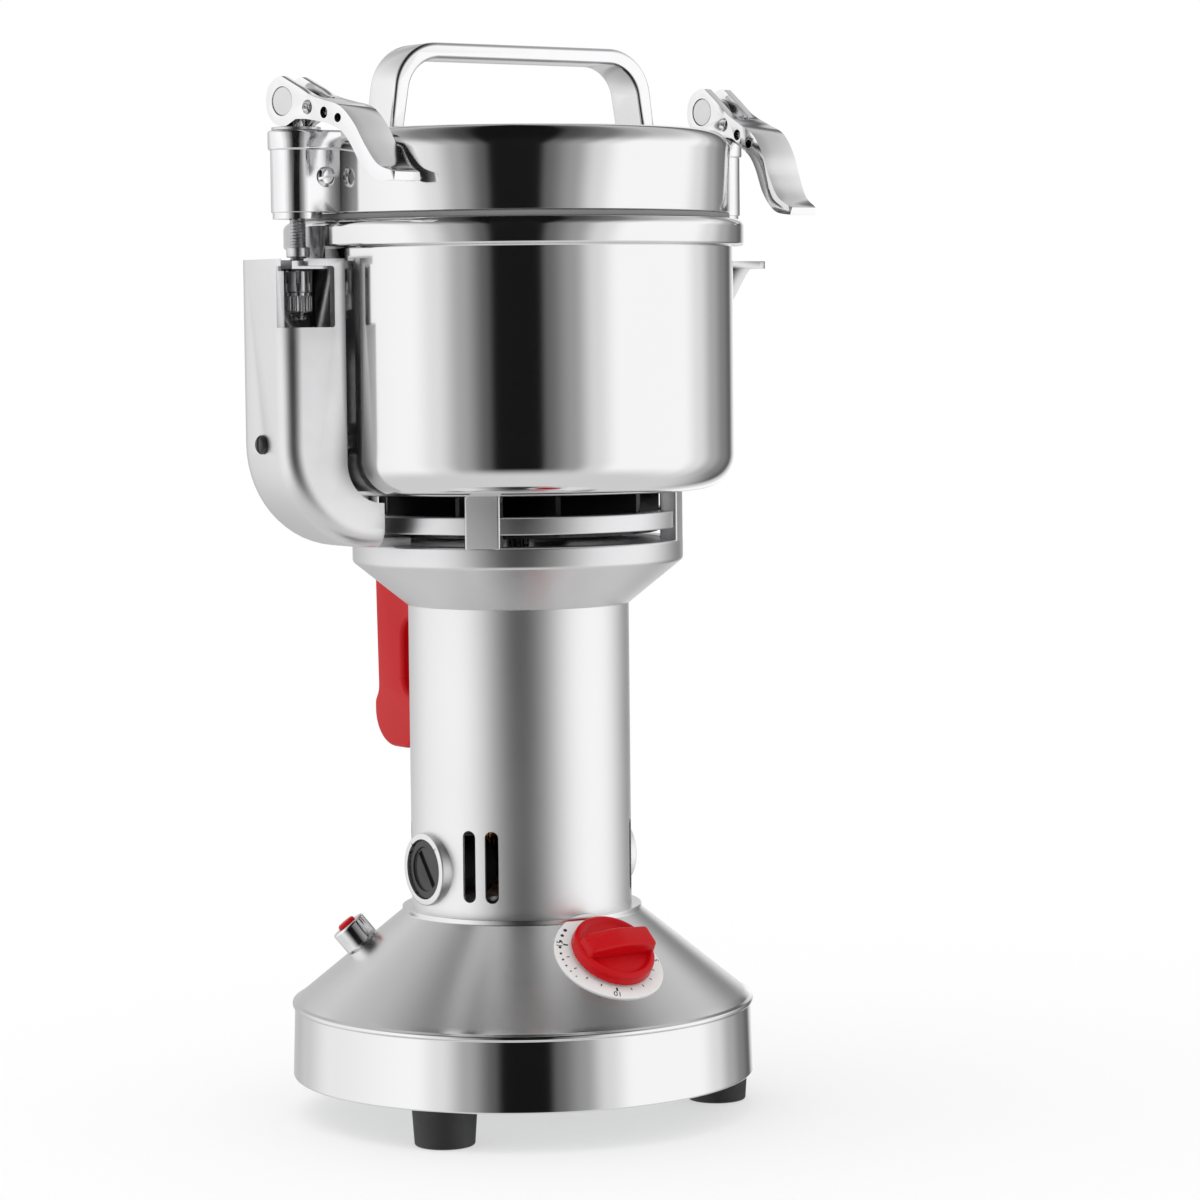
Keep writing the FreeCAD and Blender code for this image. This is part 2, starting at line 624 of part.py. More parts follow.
def grip_screw_shanks(radius):
    """The two screws' shanks, or the holes for them."""
    return [rod_along(radius, (0, COLUMN_RADIUS - 2, z), (0, 43.0, z)) for z in GRIP_SCREW_Z]


def grip_screws():
    """Two screws that hold the grip to the column from inside."""
    inner = COLUMN_RADIUS - SHEET
    heads = [rod_along(3.0, (0, inner - 1.2, z), (0, inner - 0.1, z)) for z in GRIP_SCREW_Z]
    return Part.Compound([head.fuse(shank) for head, shank in zip(heads, grip_screw_shanks(1.6))])


# Lid

def lid_shell():
    """Polished lid with rounded top edge and a turned-in lower rim."""
    shell = turned([
        (0, LID_TOP), (LID_RADIUS, LID_TOP, 7.0), (LID_RADIUS, LID_BOTTOM), (69.5, LID_BOTTOM),
        (69.5, LID_BOTTOM + 2.2), (LID_RADIUS - 1.6, LID_BOTTOM + 3.4), (LID_RADIUS - 1.6, LID_TOP - 1.6, 5.4),
        (0, LID_TOP - 1.6),
    ])
    for x in (-HANDLE_LEG_X, HANDLE_LEG_X):
        shell = shell.cut(cylinder(1.8, 330, 340, x))
    return shell


def lid_seal():
    """Flat silicone ring under the lid's rim."""
    return turned([(69.8, FLANGE_TOP), (74.0, FLANGE_TOP), (74.0, LID_BOTTOM), (69.8, LID_BOTTOM)])


def lid_handle():
    """Bent steel strap on top of the lid, with its legs leaning in."""
    half, strap = 54.0, 5.4
    outside = side_plate([(-half, LID_TOP), (-half + 4, HANDLE_TOP, 17), (half - 4, HANDLE_TOP, 17),
                          (half, LID_TOP)], 8.5)
    inside = side_plate([(-half + strap, LID_TOP - 1), (-half + strap + 4, HANDLE_TOP - strap, 12),
                         (half - strap - 4, HANDLE_TOP - strap, 12), (half - strap, LID_TOP - 1)], 9.5)
    strap_solid = outside.cut(inside)
    for x in (-HANDLE_LEG_X, HANDLE_LEG_X):
        strap_solid = strap_solid.cut(cylinder(1.8, 330, 346, x))
    return strap_solid


def lid_handle_screws():
    """Screws through the lid into the handle's legs, heads inside."""
    pieces = []
    for x in (-HANDLE_LEG_X, HANDLE_LEG_X):
        pieces.append(joined([cylinder(3.6, 333.0, LID_TOP - 1.6, x), cylinder(1.8, LID_TOP - 1.7, 346.0, x)]))
    return Part.Compound(pieces)


def stadium(half, inner_x, low, high):
    """A round-ended block about the latch rod, running in towards the lid."""
    end = cylinder(half, low, high, ROD_OFFSET)
    return end.fuse(block((inner_x, ROD_OFFSET), (-half, half), (low, high)))


def lid_ear(side):
    """Round-ended block on the lid's side that the clamp rod passes through, with its cap ring."""
    body = stadium(8.7, 60, LID_BOTTOM + 0.3, 336.4)
    cap = stadium(9.5, 60, 329.8, 336.4)
    foot = cylinder(8.2, FLANGE_TOP + 0.3, LID_BOTTOM + 0.4, ROD_OFFSET)
    ear = joined([body, cap, foot]).cut(cylinder(LID_RADIUS, 300, 340))
    ear = ear.cut(cylinder(ROD_RADIUS + 0.35, 300, 340, ROD_OFFSET))
    ear = ear.cut(rod_along(1.7, (79.3, -12, 321), (79.3, -4.5, 321)))
    return ear if side > 0 else mirrored(ear)


def mirrored(shape):
    """The same piece on the hinge side."""
    return shape.mirror(Vector(0, 0, 0), Vector(1, 0, 0))


def ear_screws():
    """Domed screw in the front flat of each ear."""
    head = rod_along(3.4, (79.3, -8.7, 321), (79.3, -10.0, 321))
    shank = rod_along(1.65, (79.3, -8.7, 321), (79.3, -4.6, 321))
    slot = block((75, 84), (-10.5, -9.5), (320.6, 321.4))
    slot.rotate(Vector(79.3, 0, 321), Vector(0, 1, 0), 12)
    screw = joined([head, shank]).cut(slot)
    return Part.Compound([screw, mirrored(screw)])


# Clamp: washer, rod with its cross barrel, cam lever and castle nut

def clamp_drop(raised):
    """How far the pivot sits below its clamped height when the lever is raised by so many degrees."""
    return CAM_LIFT * raised / CAM_SWEEP


def turn_washer(side):
    """Round washer under the cam that turns with the lever."""
    return tube(8.2, ROD_RADIUS + 0.08, *WASHER_Z, side * ROD_OFFSET)


def clamp_rod(side, raised):
    """Threaded rod, with a locating collar above the lug on the hinge side."""
    drop = clamp_drop(raised)
    x = side * ROD_OFFSET
    rod = cylinder(ROD_RADIUS, 274.0 - drop, PIVOT_Z - drop, x)
    pieces = [rod]
    if side < 0:
        pieces.append(cylinder(3.9, 294.6, 298.0, x))
    return joined(pieces)


def cross_barrel(side, raised):
    """Round cross pin that the rod's head is screwed into, and the cam lever turns on."""
    z = PIVOT_Z - clamp_drop(raised)
    pin = rod_along(BARREL_RADIUS, (-CHEEK_OUTER + 0.2, 0, z), (CHEEK_OUTER - 0.2, 0, z))
    pin.translate(Vector(side * ROD_OFFSET, 0, 0))
    pin = spun(pin, LEVER_TURNS[side], side * ROD_OFFSET)
    return pin.cut(cylinder(ROD_RADIUS, 270, z, side * ROD_OFFSET))


def cam_point(degrees_round):
    """Point on the cam: the radius shrinks steadily as the lever lifts, so the rod lets go."""
    radius = CAM_RADIUS - CAM_LIFT * degrees_round / CAM_SWEEP
    angle = math.radians(-90 - degrees_round)
    return Vector(0, radius * math.cos(angle), radius * math.sin(angle))


def lever_side(u, v):
    """A point of the lever's side view: u towards the tip, v upwards."""
    return Vector(0, u, v)


def lever_profile():
    """Side view of the lever: cam head, dipping neck and the S-shaped blade."""
    end = cam_point(CAM_SWEEP)
    top = Vector(0, 1.5, CAM_RADIUS - 0.3)
    bottom = cam_point(0)
    upper = [top, (7.5, 3.4), (13.5, -1.4), (20, -4.8), (27.2, -8.6), (32.1, -15.4), (35.5, -24), (39.2, -31),
             (45, -34.8)]
    lower = [(44.4, -37.4), (37.8, -35.8), (32.5, -29.5), (28.9, -21), (25.5, -16.0), (20, -12.6), (14.6, -10.4),
             (9.6, -8.5)]
    points = [upper[0]] + [lever_side(*p) for p in upper[1:]]
    under = [lever_side(*p) for p in lower]
    top_curve = Part.BSplineCurve()
    top_curve.interpolate(points)
    under_curve = Part.BSplineCurve()
    under_curve.interpolate(under)
    edges = [
        Part.Arc(bottom, cam_point(CAM_SWEEP / 2), end).toShape(),
        Part.Arc(end, Vector(0, -5.2, 6.1), top).toShape(),
        top_curve.toShape(),
        Part.LineSegment(points[-1], under[0]).toShape(),
        under_curve.toShape(),
        Part.Arc(under[-1], Vector(0, 5.0, -7.2), bottom).toShape(),
    ]
    return Part.Face(Part.Wire(edges))


def lever_blank():
    """Lever with two cheeks and a blade that widens, then narrows to its tip."""
    side = lever_profile()
    side.translate(Vector(-10, 0, 0))
    solid = side.extrude(Vector(20, 0, 0))
    plan = [(-CHEEK_OUTER, -12), (-CHEEK_OUTER, 12, 6), (-7.9, 24, 20), (-7.6, 34, 20), (-6.0, 46, 3), (6.0, 46, 3),
            (7.6, 34, 20), (7.9, 24, 20), (CHEEK_OUTER, 12, 6), (CHEEK_OUTER, -12)]
    solid = solid.common(plan_plate(plan, -60, 30))
    throat = block((-CHEEK_INNER, CHEEK_INNER), (-12, 16.5), (-16, 12))
    solid = solid.cut(throat)
    solid = solid.cut(rod_along(BARREL_RADIUS + 0.06, (-20, 0, 0), (20, 0, 0)))
    for u, v, radius in ((11.2, -4.9, 2.4), (19.2, -8.8, 1.9), (25.6, -12.2, 1.5)):
        solid = solid.cut(rod_along(radius, (-20, u, v), (20, u, v)))
    return solid


def cam_lever(side, raised):
    """Cam lever placed on its pivot, pointing to the front and raised by its angle at rest."""
    lever = lever_blank()
    lever.rotate(Vector(0, 0, 0), Vector(1, 0, 0), raised)
    lever.rotate(Vector(0, 0, 0), Vector(0, 0, 1), 180 + LEVER_TURNS[side])
    lever.translate(Vector(side * ROD_OFFSET, 0, PIVOT_Z - clamp_drop(raised)))
    return lever


def castle_nut(side, raised):
    """Knurled nut with notches round its top, which sets the clamp's pull."""
    x = side * ROD_OFFSET
    drop = clamp_drop(raised)
    low, high = NUT_Z[0] - drop, NUT_Z[1] - drop
    nut = tube(NUT_RADIUS, ROD_RADIUS + RUNNING_GAP, low, high, x)
    notch = block((x - 6, x + 6), (-0.8, 0.8), (high - 4.2, high + 1))
    for turn in (0, 60, 120):
        nut = nut.cut(spun(notch, turn, x))
    return nut


def all_pieces():
    """Every piece by its name."""
    pieces = {
        "base_shell": base_shell(), "base_plate": base_plate(), "rubber_feet": rubber_feet(),
        "foot_screws": foot_screws(), "cord_inlet": cord_inlet(), "dial_plate": dial_plate(),
        "timer_body": timer_body(), "timer_spindle": timer_spindle(), "timer_knob": timer_knob(),
        "reset_collar": reset_collar(), "reset_button": reset_button(), "breaker_body": breaker_body(),
        "column_tube": column_tube(), "end_bracket": end_bracket(), "lower_bearing": bearing(65.0),
        "upper_bearing": bearing(181.0), "stator_core": stator_core(), "field_coils": field_coils(),
        "brush_holders": brush_holders(), "carbon_brushes": carbon_brushes(), "brush_springs": brush_springs(),
        "brush_cap_left": brush_cap(-1), "brush_cap_right": brush_cap(1),
        "rotor_shaft": rotor_shaft(), "armature_core": armature_core(), "armature_winding": armature_winding(),
        "commutator": commutator(), "cooling_fan": cooling_fan(), "lower_blade": lower_blade(),
        "upper_blade": upper_blade(), "blade_spacers": blade_spacers(), "blade_nut": blade_nut(),
        "bowl_bracket": bowl_bracket(), "bowl": bowl(), "shaft_seal": shaft_seal(),
        "hinge_arm": hinge_arm(), "hinge_lug": hinge_lug(), "arm_spacer": arm_spacer(), "arm_screw": arm_screw(),
        "latch_lug": latch_lug(), "rear_grip": rear_grip(), "grip_screws": grip_screws(),
        "lid_shell": lid_shell(), "lid_seal": lid_seal(), "lid_handle": lid_handle(),
        "lid_handle_screws": lid_handle_screws(), "ear_left": lid_ear(-1), "ear_right": lid_ear(1),
        "ear_screws": ear_screws(),
    }
    for name, side, raised in (("left", -1, LEFT_LEVER_RAISED), ("right", 1, 0.0)):
        pieces[name + "_washer"] = turn_washer(side)
        pieces[name + "_rod"] = clamp_rod(side, raised)
        pieces[name + "_barrel"] = cross_barrel(side, raised)
        pieces[name + "_lever"] = cam_lever(side, raised)
        pieces[name + "_nut"] = castle_nut(side, raised)
    return pieces


def main():
    """Write every piece as its own STEP file."""
    os.makedirs("parts", exist_ok=True)
    for name, shape in all_pieces().items():
        if not shape.isValid() or shape.Volume <= 0:
            print("needs a look:", name, shape.isValid(), round(shape.Volume, 2))
        shape.exportStep(f"parts/{name}.step")
        print(name, len(shape.Solids), "solid", len(shape.Faces), "faces", round(shape.Volume / 1000, 2), "cm3")


main()
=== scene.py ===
"""Looks of an electric grain mill with a clamped lid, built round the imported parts.

Lengths are in millimetres and become metres where a mesh is made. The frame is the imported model's:
the motor's axis is +Z, the timer knob faces -Y, the hinge side is -X and the latch side +X.
An outline's corner is (u, v), or (u, v, radius) where it is rounded.
"""

import json
import math

import bmesh
import bpy
import numpy as np
from mathutils import Matrix, Vector


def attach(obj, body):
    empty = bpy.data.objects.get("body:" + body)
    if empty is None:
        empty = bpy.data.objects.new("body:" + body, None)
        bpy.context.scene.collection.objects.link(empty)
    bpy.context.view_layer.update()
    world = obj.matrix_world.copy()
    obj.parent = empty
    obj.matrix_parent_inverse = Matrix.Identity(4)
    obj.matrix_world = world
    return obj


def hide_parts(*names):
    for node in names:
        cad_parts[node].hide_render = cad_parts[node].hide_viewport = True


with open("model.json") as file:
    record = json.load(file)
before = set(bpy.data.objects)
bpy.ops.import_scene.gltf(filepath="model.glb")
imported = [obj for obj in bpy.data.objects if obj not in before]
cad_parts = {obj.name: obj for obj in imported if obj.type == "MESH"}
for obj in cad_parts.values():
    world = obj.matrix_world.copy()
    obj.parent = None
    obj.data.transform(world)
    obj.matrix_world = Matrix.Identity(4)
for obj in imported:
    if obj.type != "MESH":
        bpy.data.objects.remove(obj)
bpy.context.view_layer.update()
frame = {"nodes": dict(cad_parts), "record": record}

MM = 0.001
SEGMENTS = 224
FINE_SEGMENTS = 256
ARC_STEP = 6
SPAN_STEPS = 8
SMOOTH_ANGLE = 32
SIDES = {"left": -1, "right": 1}

# Base
SHEET = 1
BASE_RADIUS = 80
BASE_BOTTOM = 13
BASE_LIP = 74
BEAD_RADIUS = 80.05
SHOULDER_Z = 39
CONE_START = 78.6
CONE_FOOT_RADIUS = 79
CONE_TOP_RADIUS = 41.5
CONE_TOP_Z = 69.6
CONE_RISE = CONE_TOP_Z - SHOULDER_Z
CONE_RUN = CONE_FOOT_RADIUS - CONE_TOP_RADIUS
SEAT_BORE = 33
SEAT_SHEET = 1.4
CORD_Z = 26
CORD_HOLE = 6
FOOT_ANGLES = (94, -26, -146)
FOOT_REACH = 68

# Controls on the base's slope
TIMER_PLACE = (-90, 54)
RESET_PLACE = (147, 55.5)
CONTROL_HOLE = 5.2
DRAPE_STEPS = 6
DIAL_RADIUS = 19.5
DIAL_PLATE = 0.6
DIAL_STEP = 1.5
DIAL_SEGMENTS = 160
DIAL_TOP = 0.66
MARK_DEPTH = 0.05
DIAL_TICKS = 15
DIAL_SWEEP = 300
DIAL_NUMBERS = (5, 10, 15)
TICK_START = 15
LONG_TICK = (16.6, 0.3)
SHORT_TICK = (16, 0.18)
DOTS = 9
DOT_AZIMUTH = 200
DOT_STEP = 9
DOT_REACH = 17.6
DOT_SIZE = 0.25
DOT_GROWTH = 0.05
NUMBER_SIZE = 3
NUMBER_REACH = 17.7

# Motor column
COLUMN_RADIUS = 38.1
COLUMN_INNER = 36.9
COLUMN_BOTTOM = 71.4
COLUMN_TOP = 176
BRUSH_Z = 86.5
BOSS_RADIUS = 12.5
BRUSH_HOLE = 10.3
AIR_SLOT_ANGLES = (-60.8, -48.4, 48.4, 60.8)
COIN_SLOT_TURN = -38

# Bracket, fan and bowl
RING_RADIUS = 57
RING_BOTTOM = 191
RING_TOP = 198
PILLAR_ANGLES = (45, 135, 225, 315)
SEAT_REACH = 50.3
FAN_PLATE = 44
FAN_BOTTOM = 200.6
FAN_TOP = 214.2
FAN_STRETCH = 1.31
FAN_GROWTH = 0.1
DRUM_BOTTOM = 215
DRUM_RADIUS = 75
DRUM_INNER = 73.4
DRUM_FLOOR = 217.5
HUB_BORE = 9
HUB_TOP = 224
FLANGE_RADIUS = 79
FLANGE_INNER = 70.5
FLANGE_BOTTOM = 298
FLANGE_TOP = 307

# Lid
LID_RADIUS = 74.5
LID_BOTTOM = 309
LID_TOP = 337
LID_RIM = 69.5
LID_SHEET = 1.6
SEAL = (69.8, 74)
HANDLE_TOP = 366.5
HANDLE_HALF = 54
HANDLE_STRAP = 5.4
HANDLE_LEAN = 4
HANDLE_WIDTH = 17
EAR_START = 60
EAR_SCREW_X = 79.3
EAR_SCREW_Z = 321
SCREW_SLOT = 0.42

# Clamps
ROD_OFFSET = 85.4
ROD_RADIUS = 2.8
ROD_BOTTOM = 274
THREAD_TOP = 312
THREAD_PITCH = 1
THREAD_DEPTH = 0.35
THREAD_SEGMENTS = 48
THREAD_ROWS = 8
PIVOT_Z = 346
CAM_RADIUS = 8.4
CAM_LIFT = 0.9
CAM_SWEEP = 100
CAM_STEPS = 40
LEVER_TURNS = {"left": 14, "right": 7}
LEVER_RAISED = {"left": 12, "right": 0}
BARREL_RADIUS = 4.8
CHEEK_OUTER = 6.3
CHEEK_INNER = 3.2
WASHER_Z = (336.5, 337.5)
WASHER_RADIUS = 8.2
NUT_Z = (276.4, 290.4)
NUT_RADIUS = 4.4
NUT_NECK = 0.5
NUT_NOTCH = 4.2
KNURL_Z = (0.3, 5.7)
KNURL_RIDGES = 30
KNURL_DEPTH = 0.28
LEVER_BACK = [(-7.02, 3.16), (-4.97, 6.32), (-1.02, 8.17)]
LEVER_UPPER = [(1.5, CAM_RADIUS - 0.3), (7.5, 3.4), (13.5, -1.4), (20, -4.8), (27.2, -8.6),
               (32.1, -15.4), (35.5, -24), (39.2, -31), (45, -34.8)]
LEVER_LOWER = [(44.4, -37.4), (37.8, -35.8), (32.5, -29.5), (28.9, -21), (25.5, -16), (20, -12.6),
               (14.6, -10.4), (9.6, -8.5), (5, -7.3)]
LEVER_HOLES = [(11.2, -4.9, 2.4), (19.2, -8.8, 1.9), (25.6, -12.2, 1.5)]

# Arm on the hinge side, and the grip behind the column
ARM_OUTER = 100
ARM_INNER = 77
ARM_HALF = 16
ARM_WALL = 3
ARM_TOP = 294
ARM_FOOT = 63
ARM_FLOOR = 213
ARM_BEND_Z = 233
ARM_BEND_RADIUS = 35
ARM_ROUND = 6.5
ARM_ROUND_STEPS = 8
GRIP_HALF = 10.5

# Camera, from the photograph's perspective
VIEW_AZIMUTH = -123
VIEW_DISTANCE = 1345
VIEW_HEIGHT = 271
VIEW_LENS = 117
VIEW_SENSOR = 36
VIEW_PITCH = 4.02
VIEW_YAW = 1.2
VIEW_ROLL = -0.6

# Studio: each stop is an angle from the camera's own direction and a brightness
STUDIO_STOPS = [
    (-180, 0.50), (-154, 0.46), (-140, 0.55), (-112, 0.80), (-56, 0.92), (-42, 0.72), (-28, 0.36),
    (-15, 0.10), (-10, 0.006), (12, 0.006), (17, 0.12), (30, 0.30), (42, 0.66), (56, 0.92),
    (98, 0.92), (112, 0.70), (126, 0.38), (140, 0.20), (153, 0.10), (162, 0.60), (170, 0.88),
    (180, 0.50),
]
STUDIO_GAIN = 1.25
OVERHEAD = 0.5
TABLE_GLOW = 0.6
DIFFUSE_LEVEL = 0.92
WHITE = (1, 1, 1, 1)
FLOOR_COLOUR = (0.93, 0.93, 0.93, 1)
FLOOR_ROUGHNESS = 0.9
FLOOR_HALF = 4000
FLOOR_DROP = 0.2
FLOOR_GLOW = 0.55
LAMP_SPOT = (-0.5, 0.2, 1.9)
LAMP_AIM = (0, 0, 0.15)
LAMP_SIZE = 1.6
LAMP_POWER = 10

# Looks of the material slots: colour, least and most roughness, strength and scale of the handling,
# bump, and what is raised: spun lines, or a grain as fine scale, swell's scale and swell's share
LOOKS = {
    "polished_steel": ((0.8, 0.8, 0.8), (0.085, 0.11), (0.02, 9), 0.003, 2600),
    "brushed_steel": ((0.86, 0.86, 0.865), (0.37, 0.42), (0.02, 9), 0.05, 5200),
    "cast_aluminium": ((0.78, 0.78, 0.79), (0.3, 0.38), (0.06, 30), 0.06, (1800, 90, 0.25)),
    "plated_steel": ((0.72, 0.72, 0.73), (0.2, 0.3), (0.1, 80), 0.04, (2500, 200, 0.4)),
    "polished_fittings": ((0.86, 0.86, 0.87), (0.09, 0.17), (0.04, 60), 0.03, (1200, 120, 0.8)),
    "blade_steel": ((0.62, 0.62, 0.63), (0.2, 0.32), (0.12, 70), 0.06, (1600, 160, 0.4)),
    "zinc_sheet": ((0.55, 0.57, 0.59), (0.3, 0.48), (0.18, 120), 0.05, (900, 140, 0.7)),
    "black_rubber": ((0.022, 0.022, 0.023), (0.5, 0.68), (0.3, 90), 0.1, (2400, 200, 0.3)),
    "lid_silicone": ((0.3, 0.3, 0.3), (0.42, 0.55), (0.1, 60), 0.04, (1800, 120, 0.4)),
    "black_plastic": ((0.02, 0.02, 0.021), (0.28, 0.42), (0.25, 70), 0.05, (2200, 160, 0.3)),
    "red_plastic": ((0.58, 0.002, 0.006), (0.26, 0.36), (0.1, 50), 0.03, (900, 90, 0.7)),
    "dial_white": ((0.86, 0.86, 0.85), (0.34, 0.45), (0.04, 80), 0.02, (2000, 120, 0.4)),
    "core_steel": ((0.28, 0.28, 0.29), (0.35, 0.5), (0.2, 90), 0.3, 5200),
    "copper": ((0.72, 0.32, 0.16), (0.24, 0.4), (0.2, 120), 0.12, (1500, 240, 0.6)),
    "carbon": ((0.03, 0.03, 0.032), (0.55, 0.75), (0.3, 200), 0.12, (3000, 300, 0.3)),
    "spring_steel": ((0.5, 0.49, 0.47), (0.2, 0.34), (0.12, 150), 0.05, (2600, 260, 0.4)),
}
NOT_METAL = {"black_rubber", "lid_silicone", "black_plastic", "red_plastic", "dial_white", "carbon"}
COATS = {"black_plastic": 0.1, "dial_white": 0.1}
SHINES = {"red_plastic": 0.22}
SLOPE_DULLNESS = 0.16
SPUN_WAVER = 6
BUMP_DISTANCE = 0.0004
COAT_ROUGHNESS = 0.08


# Outlines and places

def unit(vector):
    """The vector with length one."""
    return vector / np.linalg.norm(vector)


def spoke(azimuth):
    """Unit vector (x, y) at an azimuth in degrees."""
    turn = math.radians(azimuth)
    return np.array([math.cos(turn), math.sin(turn)])


def shift(x=0, y=0, z=0):
    """Matrix of a move."""
    return Matrix.Translation((x, y, z))


def rotation(degrees, axis="Z"):
    """Matrix of a turn."""
    return Matrix.Rotation(math.radians(degrees), 4, axis)


def rounded(corners):
    """Outline points (u, v); a corner (u, v, radius) becomes an arc that touches both its sides."""
    points = []
    for index, corner in enumerate(corners):
        here = np.array(corner[:2], float)
        radius = corner[2] if len(corner) > 2 else 0
        if radius == 0:
            points.append(here)
            continue
        one = unit(np.array(corners[index - 1][:2]) - here)
        two = unit(np.array(corners[(index + 1) % len(corners)][:2]) - here)
        half = math.acos(float(np.clip(one @ two, -1, 1))) / 2
        centre = here + unit(one + two) * radius / math.sin(half)
        u, v = here + one * radius / math.tan(half) - centre
        turn = math.pi - 2 * half
        if one[0] * two[1] - one[1] * two[0] > 0:
            turn = -turn
        steps = max(2, math.ceil(abs(math.degrees(turn)) / ARC_STEP))
        for angle in np.linspace(0, turn, steps + 1):
            cosine, sine = math.cos(angle), math.sin(angle)
            points.append(centre + np.array([u * cosine - v * sine, u * sine + v * cosine]))
    return np.array(points)


def rectangle(left, right, low, high, outer=0, inner=0):
    """Corners of a rectangle, where those on the right and those on the left may be rounded."""
    return [(left, low, inner), (right, low, outer), (right, high, outer), (left, high, inner)]


def angles_round(count):
    """Evenly spaced angles of one full turn."""
    return np.linspace(0, 2 * math.pi, count, endpoint=False)


def circle(radius, count):
    """Evenly spaced points (x, y) round a circle: (r cos a, r sin a)."""
    angles = angles_round(count)
    return radius * np.stack([np.cos(angles), np.sin(angles)], 1)


def flowing(stops):
    """A smooth line through the given points: each span is the cubic whose ends take their direction
    from the neighbouring points (a Catmull-Rom curve)."""
    stops = np.array(stops, float)
    before = np.vstack([2 * stops[0] - stops[1], stops[:-1]])
    after = np.vstack([stops[1:], 2 * stops[-1] - stops[-2]])
    lean = (after - before) / 2
    t = np.linspace(0, 1, SPAN_STEPS, endpoint=False)[:, None]
    line = []
    for index in range(len(stops) - 1):
        line.append((2 * t**3 - 3 * t**2 + 1) * stops[index] + (t**3 - 2 * t**2 + t) * lean[index]
                    + (3 * t**2 - 2 * t**3) * stops[index + 1] + (t**3 - t**2) * lean[index + 1])
    return np.vstack(line + [stops[-1:]])


def cone_height(radius):
    """Height of the base's sloping face at a distance from the axis."""
    return SHOULDER_Z + CONE_RISE * ((CONE_FOOT_RADIUS - radius) / CONE_RUN)


def slope_axes(azimuth):
    """Across, uphill and outward directions of the slope at an azimuth."""
    slope = math.hypot(CONE_RISE, CONE_RUN)
    outward = np.array([*spoke(azimuth), 0])
    normal = outward * (CONE_RISE / slope) + np.array([0, 0, CONE_RUN / slope])
    uphill = outward * (-CONE_RUN / slope) + np.array([0, 0, CONE_RISE / slope])
    return np.cross(uphill, normal), uphill, normal


def slope_place(azimuth, radius, lift=0):
    """Matrix that stands +Z on the slope at a place."""
    across, uphill, normal = slope_axes(azimuth)
    spot = np.array([*(radius * spoke(azimuth)), cone_height(radius)]) + normal * lift
    place = np.eye(4)
    place[:3] = np.stack([across, uphill, normal, spot], 1)
    return Matrix(place.tolist())


def draped(points, lift):
    """Points (x, y) of the timer's tangent plane laid onto the cone along the plane's normal, then
    raised; the distance down is found by Newton's steps on z = cone_height(r)."""
    across, uphill, normal = slope_axes(TIMER_PLACE[0])
    spot = np.array(slope_place(*TIMER_PLACE))[:3, 3]
    flat = spot + points[:, :1] * across + points[:, 1:2] * uphill
    fall = np.zeros(len(points))
    for _ in range(DRAPE_STEPS):
        here = flat + fall[:, None] * normal
        radius = np.hypot(here[:, 0], here[:, 1])
        miss = here[:, 2] - cone_height(radius)
        outward = (here[:, 0] * normal[0] + here[:, 1] * normal[1]) / radius
        fall = fall - miss / (normal[2] + CONE_RISE / CONE_RUN * outward)
    return flat + (fall + lift)[:, None] * normal


# Meshes

def in_scene(name, data):
    """A new object of the scene for a mesh, a text, a lamp or a camera."""
    thing = bpy.data.objects.new(name, data)
    bpy.context.scene.collection.objects.link(thing)
    return thing


def new_object(name, points, faces, place=None):
    """An object from points in millimetres, moved by a matrix in millimetres first."""
    points = np.array(points, float)
    if place is not None:
        turn = np.array(place)
        points = points @ turn[:3, :3].T + turn[:3, 3]
    mesh = bpy.data.meshes.new(name)
    mesh.from_pydata((points * MM).tolist(), [], faces)
    mesh.validate()
    return in_scene(name, mesh)


def discard(piece):
    """Remove an object and its mesh."""
    mesh = piece.data
    bpy.data.objects.remove(piece)
    bpy.data.meshes.remove(mesh)


def reworked(piece, change):
    """Put a piece's mesh through a function that edits it as a bmesh."""
    work = bmesh.new()
    work.from_mesh(piece.data)
    change(work)
    work.to_mesh(piece.data)
    work.free()
    return piece


def face_outwards(work):
    """Make the faces of closed shells look outwards."""
    bmesh.ops.recalc_face_normals(work, faces=work.faces)


def band_faces(low, high):
    """Quads between two rings of point numbers, or triangles where one of them is a pole."""
    if len(low) == 1 and len(high) == 1:
        return []
    if len(low) == 1:
        return np.stack([np.full_like(high, low[0]), high, np.roll(high, -1)], 1).tolist()
    if len(high) == 1:
        return np.stack([low, np.roll(low, -1), np.full_like(low, high[0])], 1).tolist()
    return np.stack([low, np.roll(low, -1), np.roll(high, -1), high], 1).tolist()


def skin(rings):
    """Faces of the bands between rings of point numbers, one after the other."""
    faces = []
    for low, high in zip(rings, rings[1:]):
        faces += band_faces(low, high)
    return faces


def slab_faces(count):
    """Faces of a solid between two copies of an outline."""
    low = np.arange(count)
    high = low + count
    return [low[::-1].tolist(), high.tolist()] + band_faces(low, high)


def lathe(name, corners, place=None, segments=SEGMENTS):
    """Surface of revolution: an outline point (r, z) at turn a stands at (r cos a, r sin a, z).
    A point on the axis becomes one pole, shared by its fan of triangles."""
    points = []
    rings = []
    total = 0
    for radius, height in rounded(corners):
        ring = circle(radius, segments) if radius > 0 else np.zeros((1, 2))
        points.append(np.column_stack([ring, np.full(len(ring), height)]))
        rings.append(np.arange(total, total + len(ring)))
        total += len(ring)
    faces = skin(rings + rings[:1])
    return reworked(new_object(name, np.vstack(points), faces, place), face_outwards)


def prism(name, corners, low, high, across="z", place=None):
    """A flat outline made solid between two distances along the axis across it."""
    outline = rounded(corners)
    points = [np.insert(outline, "xyz".index(across), level, axis=1) for level in (low, high)]
    return reworked(new_object(name, np.vstack(points), slab_faces(len(outline)), place), face_outwards)


